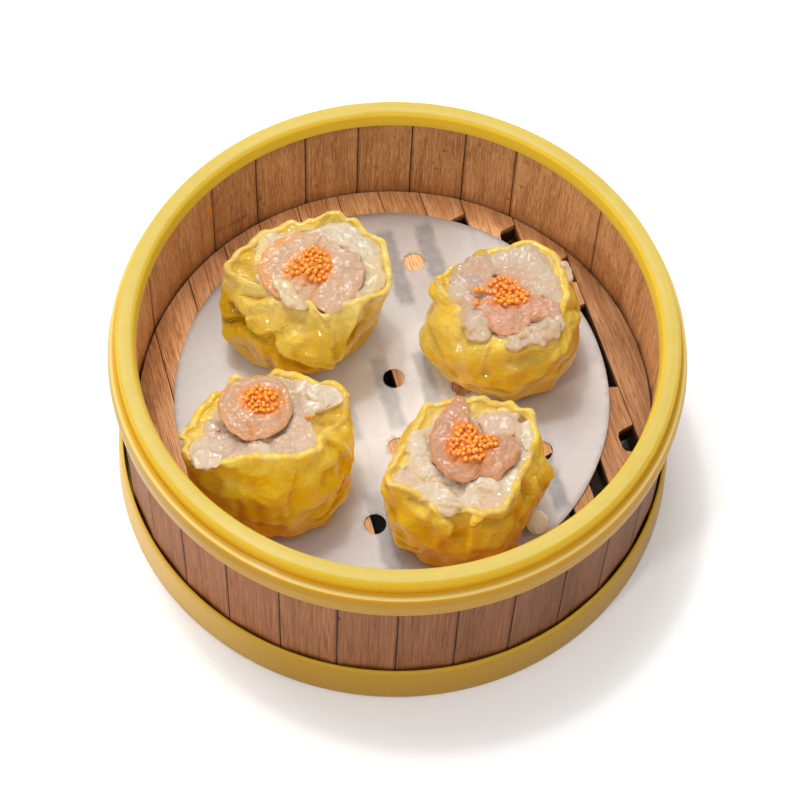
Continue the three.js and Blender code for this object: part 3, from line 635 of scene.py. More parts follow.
def stave_material(k, a0, a1):
    rs = np.random.RandomState(100 + k)
    m = Mat("bamboo_wall_%02d" % (k + 1))
    p = m.mm()
    x, y, z = m.split(p)
    th = m.math("DEGREES", m.math("ARCTAN2", y, x))
    mid = (a0 + a1) / 2
    midw = ((mid + 180) % 360) - 180
    # angle from the stave's middle, unwrapped
    d = m.sub(th, midw)
    d = m.sub(d, m.mul(m.math("ROUND", m.mul(d, 1 / 360.0)), 360.0))
    across = m.mul(d, 74.0 * PI / 180)
    r = m.math("SQRT", m.add(m.mul(x, x), m.mul(y, y)))
    tone = rs.uniform(0.95, 1.05)
    dark = (0.40, 0.175, 0.066)
    light = (0.69, 0.378, 0.168)
    col, h = grain(m, m.mul(z, m.rng(r, 75.2, 75.9, 1.0, 0.32)), across, r, k + 1.0, dark, light, tone)
    half = (a1 - a0) / 2 * 74.0 * PI / 180
    near = m.rng(m.math("ABSOLUTE", m.add(across, m.mul(m.noise(m.xyz(k * 1.7, 0.0, z), 0.25, 2.0), 0.5))), half - 0.8, half - 0.05)
    if k in HIDDEN:
        near = m.mul(near, m.rng(across, 0.0, 1.0))
    if (k + 1) % 30 in HIDDEN:
        near = m.mul(near, m.rng(across, 0.0, -1.0))
    col = m.mix(m.mul(near, 0.55), col, (0.15, 0.05, 0.015))
    inside = m.rng(r, 73.4, 74.6, 1.0, 0.0)
    # steam stains on the inside
    tea = m.mul(m.rng(m.noise(m.xyz(across, y, m.mul(z, 0.6)), 0.09, 3.0, 0.6), 0.5, 0.75), inside)
    col = m.mix(m.mul(tea, 0.25), col, (0.36, 0.14, 0.035))
    lowdark = m.mul(m.rng(z, 24.0, 31.0, 1.0, 0.0), inside)
    col = m.mix(m.mul(lowdark, 0.35), col, (0.25, 0.10, 0.035))
    for (sa, sz, ra, rz, c, amount) in STAINS:
        dd = ((sa - mid + 180) % 360) - 180
        if abs(dd) > 6.2 + ra / 1.29:
            continue
        s0 = dd * 74.0 * PI / 180
        blob = m.spot(across, z, s0, sz, ra, rz, 0.9)
        rag = m.rng(m.noise(m.xyz(across, sa, z), 0.7, 4.0, 0.65), 0.30, 0.55)
        col = m.mix(m.mul(m.mul(m.mul(blob, rag), inside), amount), col, c)
    # painted light: the inside of the staves on the left and the right is made lighter and paler, where light falls
    inner_light = INNER_LIGHT_TONES.get(k, 1.0)
    inner_light_extra = max(inner_light - 1.0, 0.0)
    col = m.mix(inside, col, m.mix(1.0, col, (inner_light, inner_light * (1 + 0.15 * inner_light_extra), inner_light * (1 + 0.25 * inner_light_extra)), "MULTIPLY"))
    # painted shade: the outside of the wall gets a darker, redder copy of the bamboo, lighter on the left staves and
    # darker on the front and right ones, as light and shade fall
    outside = m.rng(r, 75.2, 75.9)
    outer_light_shade = OUTER_LIGHT_SHADE_TONES.get(k, 1.0) * rs.uniform(0.93, 1.07)
    red = rs.uniform(0.94, 1.04)
    col = m.mix(outside, col, m.mix(1.0, col, (0.545 * outer_light_shade, 0.405 * outer_light_shade * red, 0.345 * outer_light_shade * red), "MULTIPLY"))
    for (sa, sz, ra, rz, c, amount) in KNOTS:
        dd = ((sa - mid + 180) % 360) - 180
        if abs(dd) > 6.2 + ra / 1.29:
            continue
        blob = m.spot(across, z, dd * 74.0 * PI / 180, sz, ra, rz, 0.9)
        col = m.mix(m.mul(m.mul(blob, outside), amount), col, c)
    # orange-brown marks where the stave enters the foot
    foot = m.mul(m.rng(z, 13.5, 19.0, 1.0, 0.0), m.rng(m.noise(m.xyz(m.mul(across, 1.0), r, m.mul(z, 0.4)), 0.7, 3.0, 0.6), 0.42, 0.66))
    col = m.mix(m.mul(m.mul(foot, outside), 0.7), col, (0.30, 0.11, 0.015))
    rough = m.add(0.5, m.mul(h, 0.2))
    m.set(Base_Color=col, Roughness=rough, Normal=m.bump(h, 0.35, 0.00018))
    m.set(Specular_IOR_Level=0.22)
    return m.m


def seam_angle(k):
    nominal = 12.0 * k
    return nominal + 7.1 + 1.9 * math.cos(math.radians(nominal + 7.1 - 245))


INNER_LIGHT_TONES = {26: 1.15, 27: 1.3, 28: 1.35, 29: 1.38, 0: 1.38, 1: 1.36, 2: 1.34, 3: 1.28, 4: 1.16, 5: 1.08, 9: 1.05, 10: 1.08, 11: 1.13, 12: 1.2, 13: 1.26, 14: 1.28, 15: 1.3, 16: 1.3}
OUTER_LIGHT_SHADE_TONES = {16: 1.12, 17: 1.1, 18: 1.08, 19: 1.04, 21: 0.96, 22: 0.82, 23: 0.76, 24: 0.72, 25: 0.70, 26: 0.75, 27: 0.78, 28: 0.84, 29: 0.84}
GREY = (0.17, 0.13, 0.06)
ORANGE = (0.66, 0.24, 0.03)
SPOT = (0.22, 0.06, 0.015)
KNOTS = [(261.3, 42.7, 0.6, 1.9, (0.03, 0.012, 0.006), 0.95), (259.3, 34.2, 0.35, 3.6, SPOT, 0.6), (304.6, 36.0, 0.5, 2.6, SPOT, 0.7)]
STAINS = [
    (139.5, 45.3, 2.6, 3.2, ORANGE, 1.0), (152.6, 50.7, 1.6, 3.6, ORANGE, 0.8), (154.6, 46.3, 1.6, 3.0, ORANGE, 1.0), (141.5, 42.0, 1.6, 2.0, ORANGE, 0.6),
    (130.8, 31.3, 3.4, 1.8, GREY, 0.9), (133.3, 31.6, 2.6, 1.8, GREY, 0.8), (137.1, 32.6, 2.2, 2.0, GREY, 0.8), (125.8, 35.8, 1.7, 2.6, GREY, 0.9), (124.6, 32.0, 1.2, 1.6, GREY, 0.6),
    (81.6, 46.5, 1.3, 1.2, SPOT, 0.9), (84.3, 40.0, 1.1, 1.0, SPOT, 0.6), (83.4, 37.2, 1.3, 1.0, SPOT, 0.7), (97.3, 36.9, 1.1, 1.6, SPOT, 0.45),
    (71.8, 51.0, 1.8, 0.8, SPOT, 0.4), (65.9, 31.8, 1.1, 1.0, SPOT, 0.9), (62.9, 40.9, 1.6, 0.8, SPOT, 0.7), (62.5, 53.0, 1.6, 1.6, SPOT, 0.4), (150.6, 29.0, 0.5, 5.0, SPOT, 0.7),
    (10.0, 40.0, 1.2, 6.0, SPOT, 0.25), (22.0, 36.0, 1.4, 7.0, SPOT, 0.25), (35.0, 32.0, 3.0, 3.0, SPOT, 0.25),
]
for k in range(30):
    ob = NODES["stave_%02d" % (k + 1)]
    ob.data.materials.clear()
    ob.data.materials.append(stave_material(k, seam_angle(k), seam_angle(k + 1)))
    b = ob.modifiers.new("edges", "BEVEL")
    b.width = 0.00035
    b.segments = 2
    b.limit_method = "ANGLE"
    b.angle_limit = math.radians(30)





def seam_box(k, half, r0, r1, z0, z1, vs, fs):
    a = math.radians(seam_angle(k))
    c, s = math.cos(a), math.sin(a)
    n0 = len(vs)
    for z in (z0, z1):
        for r in (r0, r1):
            for side in (-half, half):
                vs.append((r * c - side * s, r * s + side * c, z))
    fs += [tuple(n0 + i for i in f) for f in ((0, 1, 3, 2), (4, 6, 7, 5), (0, 4, 5, 1), (2, 3, 7, 6), (0, 2, 6, 4), (1, 5, 7, 3))]


def seam_strips():
    """the dark glue line that closes each joint between two staves; some joints are so tight that they only show as bamboo"""
    m = Mat("seam")
    p = m.mm()
    n = m.noise(m.scale(p, (1.0, 1.0, 0.15)), 1.2, 3.0, 0.6)
    m.set(Base_Color=m.mix(m.rng(n, 0.35, 0.65), (0.020, 0.006, 0.002), (0.055, 0.018, 0.006)), Roughness=0.7, Normal=m.bump(n, 0.3, 0.0001))
    vs, fs = [], []
    for k in range(30):
        if k in HIDDEN:
            continue
        seam_box(k, 0.42, 73.1, 75.9, 3.2, 57.1, vs, fs)
        seam_box(k, 0.42, 73.1, 74.1, 57.15, 62.6, vs, fs)
    piece("stave_joints", np.array(vs) * MM, fs, m.m, False)
    for k in HIDDEN:
        vs, fs = [], []
        seam_box(k, 0.62, 72.62, 76.36, 2.9, 56.9, vs, fs)
        seam_box(k, 0.62, 72.62, 73.9, 56.95, 62.9, vs, fs)
        piece("stave_joint_%02d" % k, np.array(vs) * MM, fs, NODES["stave_%02d" % (k + 1)].data.materials[0], False)


seam_strips()
SLAT_TURN = math.radians(19)
# painted light and shade: the slats on the left are lighter, those on the right darker
SLAT_LIGHT_SHADE_TONES = {10: 0.84, 11: 0.80, 9: 0.93, 0: 1.12, 1: 1.18, 2: 1.12}


def slat_material(k, s_mid):
    rs = np.random.RandomState(300 + k)
    m = Mat("bamboo_slat_%02d" % (k + 1))
    p = m.mm()
    x, y, z = m.split(p)
    c, s = math.cos(SLAT_TURN), math.sin(SLAT_TURN)
    across = m.add(m.mul(x, c), m.mul(y, s))
    along = m.sub(m.mul(y, c), m.mul(x, s))
    tone = SLAT_LIGHT_SHADE_TONES.get(k, 1.0) * rs.uniform(0.96, 1.04)
    col, h = grain(m, along, across, m.mul(z, 0.7), k + 51.0, (0.42, 0.170, 0.058), (0.86, 0.50, 0.235), tone)
    r = m.math("SQRT", m.add(m.mul(x, x), m.mul(y, y)))
    # darker towards the ends of the slats, by the wall
    wet = m.mul(m.rng(r, 66.0, 71.5), 0.35)
    col = m.mix(wet, col, (0.26, 0.11, 0.04))
    # painted shade: the slats' sides below their top are near black, like the dark gaps between them
    deep_shade = m.rng(z, 21.6, 24.45, 1.0, 0.0)
    col = m.mix(m.mul(deep_shade, 0.93), col, (0.035, 0.014, 0.008))
    tea = m.rng(m.noise(m.xyz(across, z, m.mul(along, 0.5)), 0.1, 3.0, 0.6), 0.5, 0.75)
    col = m.mix(m.mul(tea, 0.22), col, (0.45, 0.19, 0.06))
    # painted light and shade: lighter towards the back and the back left, darker at the far left front and on the right
    back_light = m.rng(m.sub(y, m.mul(x, 0.35)), 20.0, 34.0)
    col = m.mix(back_light, col, m.mix(1.0, col, (1.27, 1.28, 1.29), "MULTIPLY"))
    back_left_light = m.mul(m.rng(x, -38.0, -48.0), m.rng(y, 18.0, 30.0))
    col = m.mix(back_left_light, col, m.mix(1.0, col, (1.12, 1.2, 1.35), "MULTIPLY"))
    col = m.mix(m.mul(m.rng(x, -52.0, -60.0), m.rng(y, 18.0, 8.0)), col, m.mix(1.0, col, (0.88, 0.86, 0.84), "MULTIPLY"))
    col = m.mix(m.mul(m.rng(x, 40.0, 52.0), m.rng(y, 35.0, 22.0)), col, m.mix(1.0, col, (0.70, 0.66, 0.62), "MULTIPLY"))
    m.set(Base_Color=col, Roughness=m.add(0.48, m.mul(h, 0.2)), Normal=m.bump(h, 0.35, 0.00018))
    m.set(Specular_IOR_Level=0.3)
    return m.m


for k in range(12):
    ob = NODES["slat_%02d" % (k + 1)]
    lo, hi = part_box("slat_%02d" % (k + 1))
    ob.data.materials.clear()
    ob.data.materials.append(slat_material(k, 0.0))
    b = ob.modifiers.new("edges", "BEVEL")
    b.width = 0.0004
    b.segments = 2
    b.limit_method = "ANGLE"
    b.angle_limit = math.radians(35)

# ---------------------------------------------------------------- punched paper
PAPER = (-1.0, 2.5, 61.0)
PUNCHES = [(3.3, 47.0), (-0.8, 7.6), (18.7, 6.3), (1.5, -14.5), (41.3, -13.2), (-3.7, -38.8)]
PUNCH_R = 3.05


def paper_height(X, Y):
    """the sheet lies on the slats and is a little wavy; it lifts slightly near its edge"""
    P = np.stack([X, Y, np.zeros_like(X)], -1)
    h = 25.08 + waves(P, 71, 34.0, 0.10) + waves(P, 72, 15.0, 0.045) + waves(P, 73, 6.0, 0.012)
    d = np.hypot(X - PAPER[0], Y - PAPER[1]) / PAPER[2]
    ang = np.arctan2(Y - PAPER[1], X - PAPER[0])
    lift = 0.55 * np.clip((d - 0.8) / 0.2, 0, 1) ** 2 * (0.5 + 0.5 * np.sin(3 * ang + 0.6) * np.cos(2 * ang + 1.0))
    return np.clip(h, 24.85, 25.45) + np.clip(lift, 0, 1)


def paper_mesh():
    pts, edges = [], []
    def loop(cx, cy, r, n, rag=0.0, seed=0):
        rs = np.random.RandomState(seed)
        first = len(pts)
        for i in range(n):
            a = 2 * PI * i / n
            rr = r + rag * (math.sin(5 * a + 1.0) + 0.6 * math.sin(11 * a + 2.1))
            pts.append((cx + rr * math.cos(a), cy + rr * math.sin(a)))
            edges.append((first + i, first + (i + 1) % n))
    loop(*PAPER, 260, 0.09)
    for i, (x, y) in enumerate(PUNCHES):
        loop(x, y, PUNCH_R, 44, 0.03)
    rs = np.random.RandomState(4)
    step = 1.45
    n = int(PAPER[2] / step) + 2
    for i in range(-n, n + 1):
        for j in range(-n, n + 1):
            x = PAPER[0] + (i + 0.5 * (j % 2)) * step + rs.uniform(-0.1, 0.1)
            y = PAPER[1] + j * step * 0.866 + rs.uniform(-0.1, 0.1)
            if math.hypot(x - PAPER[0], y - PAPER[1]) > PAPER[2] - 0.9:
                continue
            if any(math.hypot(x - a, y - b) < PUNCH_R + 0.7 for a, b in PUNCHES):
                continue
            pts.append((x, y))
    vs, _, tris, _, _, _ = delaunay_2d_cdt([Vector(p) for p in pts], edges, [], 0, 1e-5)
    V = np.array([(v.x, v.y) for v in vs])
    F = np.array([t for t in tris if len(t) == 3])
    C = V[F].mean(1)
    keep = np.hypot(C[:, 0] - PAPER[0], C[:, 1] - PAPER[1]) < PAPER[2] + 0.4
    for a, b in PUNCHES:
        keep &= np.hypot(C[:, 0] - a, C[:, 1] - b) > PUNCH_R - 0.02
    F = F[keep]
    e1 = V[F[:, 1]] - V[F[:, 0]]; e2 = V[F[:, 2]] - V[F[:, 0]]
    neg = (e1[:, 0] * e2[:, 1] - e1[:, 1] * e2[:, 0]) < 0
    F[neg] = F[neg][:, ::-1]
    used = np.unique(F)
    remap = -np.ones(len(V), int); remap[used] = np.arange(len(used))
    V = V[used]; F = remap[F]
    Z = paper_height(V[:, 0], V[:, 1])
    top = np.column_stack([V, Z]); n = len(V)
    bot = np.column_stack([V, Z - 0.12])
    # the boundary edges carry the thin side
    E = np.concatenate([F[:, [0, 1]], F[:, [1, 2]], F[:, [2, 0]]])
    key = {}
    for a, b in E:
        key[(a, b)] = key.get((a, b), 0) + 1
    side = [(b, a, a + n, b + n) for (a, b) in key if (b, a) not in key]
    faces = [tuple(f) for f in F] + [tuple(int(i) + n for i in f[::-1]) for f in F] + [tuple(int(i) for i in s) for s in side]
    return np.concatenate([top, bot]) * MM, faces


def paper_material():
    m = Mat("paper")
    p = m.mm()
    x, y, z = m.split(p)
    c, s = math.cos(SLAT_TURN), math.sin(SLAT_TURN)
    u = m.add(m.mul(x, c), m.mul(y, s))
    v = m.sub(m.mul(y, c), m.mul(x, s))
    flat = m.xyz(u, v, 0.0)
    warm = m.noise(flat, 0.05, 3.0, 0.6)
    mott = m.noise(flat, 0.35, 4.0, 0.65)
    fibre = m.noise(m.xyz(m.mul(u, 1.0), m.mul(v, 0.5), 0.0), 2.6, 4.0, 0.7)
    col = m.mix(m.rng(warm, 0.36, 0.66), (0.66, 0.635, 0.615), (0.69, 0.655, 0.625))
    col = m.mix(m.rng(mott, 0.42, 0.72, 0.0, 0.35), col, (0.58, 0.555, 0.54))
    col = m.mix(m.rng(fibre, 0.55, 0.8, 0.0, 0.3), col, (0.76, 0.735, 0.71))
    # painted shade: the dark slots under the damp sheet show through as soft grey streaks
    wob = m.mul(m.sub(m.noise(flat, 0.16, 3.0, 0.6), 0.5), 3.4)
    uu = m.add(u, wob)
    rag = m.rng(m.noise(flat, 0.30, 4.0, 0.7), 0.30, 0.60)
    grey = None
    for (u0, u1, v0, v1, amount) in SLOT_SHADE_STREAKS:
        side = m.mul(m.rng(uu, u0 - 1.0, u0 + 1.0), m.rng(uu, u1 - 1.0, u1 + 1.0, 1.0, 0.0))
        run = m.mul(m.rng(m.add(v, wob), v0 - 1.5, v0 + 1.5), m.rng(m.add(v, wob), v1 - 1.5, v1 + 1.5, 1.0, 0.0))
        a = m.mul(m.mul(side, run), amount)
        grey = a if grey is None else m.math("MAXIMUM", grey, a)
    grey = m.mul(grey, m.add(0.60, m.mul(rag, 0.28)))
    col = m.mix(grey, col, (0.24, 0.245, 0.26))
    # painted shade of the seams between slats under the sheet, much fainter
    for (s0) in (-12.0, 1.0, 14.9, 26.2, 37.7):
        line = m.rng(m.math("ABSOLUTE", m.sub(uu, s0)), 0.3, 1.3, 1.0, 0.0)
        col = m.mix(m.mul(line, 0.10), col, (0.40, 0.36, 0.33))
    # painted light and shade: the sheet is darker to the right and towards the back, lighter round the middle
    right = m.rng(x, 5.0, 32.0)
    back = m.mul(m.rng(y, 22.0, 42.0), m.rng(x, 30.0, 5.0))
    r = m.math("SQRT", m.add(m.mul(x, x), m.mul(y, y)))
    shade = m.mix(right, (0.915, 0.93, 0.955), (0.88, 0.905, 0.94))
    shade = m.mix(back, shade, (0.79, 0.745, 0.72))
    shade = m.mix(m.rng(r, 30.0, 10.0), shade, (1.09, 1.10, 1.11))
    col = m.mix(1.0, col, shade, "MULTIPLY")
    h = m.add(m.mul(fibre, 0.5), m.mul(mott, 0.8))
    m.set(Base_Color=col, Roughness=0.62, Normal=m.bump(h, 0.35, 0.0002))
    m.set(Specular_IOR_Level=0.25)
    return m.m


SLOT_SHADE_STREAKS = [(10, 15, 30, 56, 0.75), (21.5, 26.5, 36, 55, 0.7), (-3.5, 1.2, -9, 15, 0.6), (8.5, 13, -5, 14, 0.7),
           (-17, -12, -9, 2, 0.55), (-17, -12, -52, -26, 0.6), (32.5, 37, -45, -25, 0.8), (-4, 1.0, -50, -27, 0.5), (32.5, 37, -10, 12, 0.45), (21.5, 26, -50, -27, 0.5)]

# ---------------------------------------------------------------- the food's shapes

def belly(tab, z):
    return [[a, r, z] for a, r in tab]

SPECS = {
 'D1': dict(at=(-27, 21.5), seed=11, thick=[[0,1.5],[90,1.3],[180,1.9],[270,1.6]], lean=(0,0),
   base=[[0,17.5],[60,17.5],[120,17.5],[180,18.6],[200,19.0],[215,18.5],[231,18.0],[251,17.0],[266,15.6],[285,15.0],[305,14.4],[325,14.8],[341,16.4]],
   waist=[[0,20.2,8],[60,19.6,8],[120,19.4,8],[170,21.5,8],[190,22.6,8],[200,23.2,7],[208,21.6,7],[220,19.6,7],[240,18.8,8],[265,17.6,8],[285,17.6,8],[301,17.0,8],[319,16.2,8],[341,17.2,7],[353,19.8,7]],
   belly=[[10,21.8,18],[35,20.8,17],[70,19.5,17],[110,18.6,17],[145,19.2,16],[170,21.0,18],[180,22.2,18],[191,23.0,17],[200,22.6,15],[210,21.6,16],[222,20.8,16],[236,20.8,16],[250,22.0,16.5],[266,23.2,17],[280,23.4,17],[291,22.6,16.5],[301,20.9,15],[312,19.6,15],[325,19.4,15],[341,19.6,16],[354,20.8,18]],
   rim=[[5,23.9,32],[15,23.9,33],[23,24,34],[27,22.4,34],[33,20.9,34.2],[38,20.8,35],[44,20.3,35.5],[52,19.1,36],[60,18.6,37],[67,17.4,37],[73,15.7,36.5],[80,14.4,36],[95,13.4,35],[106,14.6,35.5],[120,14.3,35],[138,15.2,34],[154,17.1,33.5],[162,18,33],[175,19.6,32],[180,21.3,31],[186,20.2,30],[194,15.6,30],[206,13.4,30.6],[219,12.8,31],[239,12.2,31.5],[262,11.8,32],[281,12,32],[291,13.8,31.8],[296,16.2,30.5],[301,16,31],[310,16.5,32],[321,17.7,32.5],[329,19.8,32.5],[340,22.4,32],[354,24.1,30.5]],
   features=[]),
 'D2': dict(at=(29, 18.5), seed=23, thick=[[0,1.4],[180,1.4],[300,1.6]], lean=(0,0),
   base=[[0,17.6],[90,17],[150,17.6],[190,19],[219,18],[242,16.6],[259,16.2],[275,17],[305,17.6],[325,18.8],[340,18.4]],
   waist=[[0,20.4,8],[60,19.2,8],[120,18.6,8],[170,21.0,8],[192,22.8,9],[203,23.0,9],[215,21.3,7],[240,19.6,7],[270,19.0,7],[300,19.4,7],[325,20.6,7],[338,20.8,7],[347,21.3,9]],
   belly=[[0,21.0,16],[10,21.2,18],[40,20.2,17],[90,19,17],[140,19,17],[168,19.8,18],[184,20.7,17],[196,22.6,15],[204,23.0,14],[225,21.6,14],[250,20.8,14],[275,20.5,14],[300,21,14],[330,21.7,15],[350,21.4,15]],
   rim=[[357,16.2,31],[12,16.2,32],[35,16.6,33],[46,17.2,34],[57,16.6,34.5],[73,14.8,34.5],[83,13.9,34],[93,13.4,33],[114,14,32.5],[123,13.6,32],[138,14.8,30],[148,15.8,28.8],[155,17.2,29],[164,19.8,30],[170,20.7,30.3],[176,19.8,28.7],[184,17.6,28],[192,15.2,28.3],[202,14.4,28],[216,15.8,27.5],[229,16.7,27],[241,16.1,26.6],[250,14.6,26.5],[257,13.7,26.9],[268,14.3,27],[278,15.2,27],[295,15.7,27.5],[309,17.5,28],[318,19.8,28.5],[326,18.7,29],[341,16.6,30]],
   features=[]),
 'D3': dict(at=(-34, -26.5), seed=37, thick=[[0,1.6],[120,1.8],[250,1.4]], lean=(0,0),
   base=[[0,19.0],[60,18.2],[120,17.6],[180,18.2],[220,18.6],[260,18.8],[289,19.4],[305,19.7],[317,20.6],[329,21.3],[342,20.4]],
   waist=[[0,21.8,8],[60,20,8],[120,19,8],[180,20.4,8],[220,20.8,8],[260,20.0,8],[290,20.4,7],[310,21.2,6],[320,22.2,6],[329,22.6,6],[338,23.4,7],[348,23.2,9]],
   belly=[[0,23.3,18],[20,22.8,19],[45,20.7,17],[90,18.6,17],[135,18.6,16],[180,20.4,17],[215,22.0,18],[250,20.8,17],[290,20.6,16],[315,22,15],[332,23.2,14],[346,23.5,15]],
   rim=[[0,20.6,29.8],[8,22.0,29.4],[17,23.4,31],[25,24.3,31.5],[32,23.2,31.5],[38,21.7,31],[43,19.4,30],[50,18.9,29.5],[59,18.6,29],[70,17.8,28.5],[82,17.3,28],[95,16.6,28],[108,16.2,27.2],[116,16.9,26.6],[121,18.4,26.5],[126,17.9,26],[135,16.8,26],[144,18.3,26.5],[160,18.8,27],[172,19.5,27.5],[183,19.4,28],[190,22.2,29],[194,21.4,29.2],[199,21.8,30],[205,23.4,30.5],[214,23.4,31],[222,21.6,32],[229,19.4,32.6],[236,16.8,33.6],[247,14.6,34.5],[265,13.3,35],[285,13.9,35.3],[303,15.2,35],[319,17,34.5],[331,17.9,34],[340,17.0,33.4],[349,17.4,32]],
   features=[]),
 'D4': dict(at=(19.5, -33), seed=41, thick=[[0,1.5],[180,1.5],[270,1.3]], lean=(0,0),
   base=[[0,18.0],[90,17.6],[180,18.0],[205,19.4],[217,19.5],[231,19.1],[245,19.5],[270,18.9],[300,18.7],[329,17.9],[345,17.5]],
   waist=[[0,20.4,8],[60,19.6,8],[120,18.8,8],[180,20.4,8],[200,21.6,8],[212,22.1,8],[222,21.4,6],[245,20.9,7],[270,20.6,7],[300,20.5,7],[325,18.6,8],[337,18.2,8.5],[348,19.3,9]],
   belly=[[0,22.9,19],[10,21.4,20],[45,20.4,17],[90,18,17],[135,19.0,17],[180,20.2,17],[206,21.9,17],[225,22,15],[245,21.6,15],[270,21.4,15],[305,21.6,16],[330,20.0,17.5],[348,20.9,18.5]],
   rim=[[0,18.2,32],[13,19,32.5],[26,20.5,33],[35,21.6,33.5],[41,21.2,33.5],[47,19.7,33.5],[54,18.8,33.5],[60,17.5,33],[68,16.7,33.5],[73,17,34],[79,16.8,34.5],[86,16.2,34.5],[94,15.6,34],[107,15.9,32.6],[117,16.5,32.2],[128,17.8,32.5],[135,17.6,32.4],[146,16.8,32],[158,16.8,31.5],[168,17.5,31],[181,18.4,31],[190,20,30.6],[195,22.3,30.4],[200,23.2,30],[205,22.6,30],[212,20.6,30],[225,18.4,29.6],[240,17.8,29.4],[250,18.3,29],[259,17.2,28.6],[266,16,28.6],[273,15.8,29],[279,17,29.6],[288,18,30.5],[300,19.2,31],[309,18.4,31.4],[320,16.9,31.8],[337,16.3,32],[351,17.1,32]],
   features=[]),
}
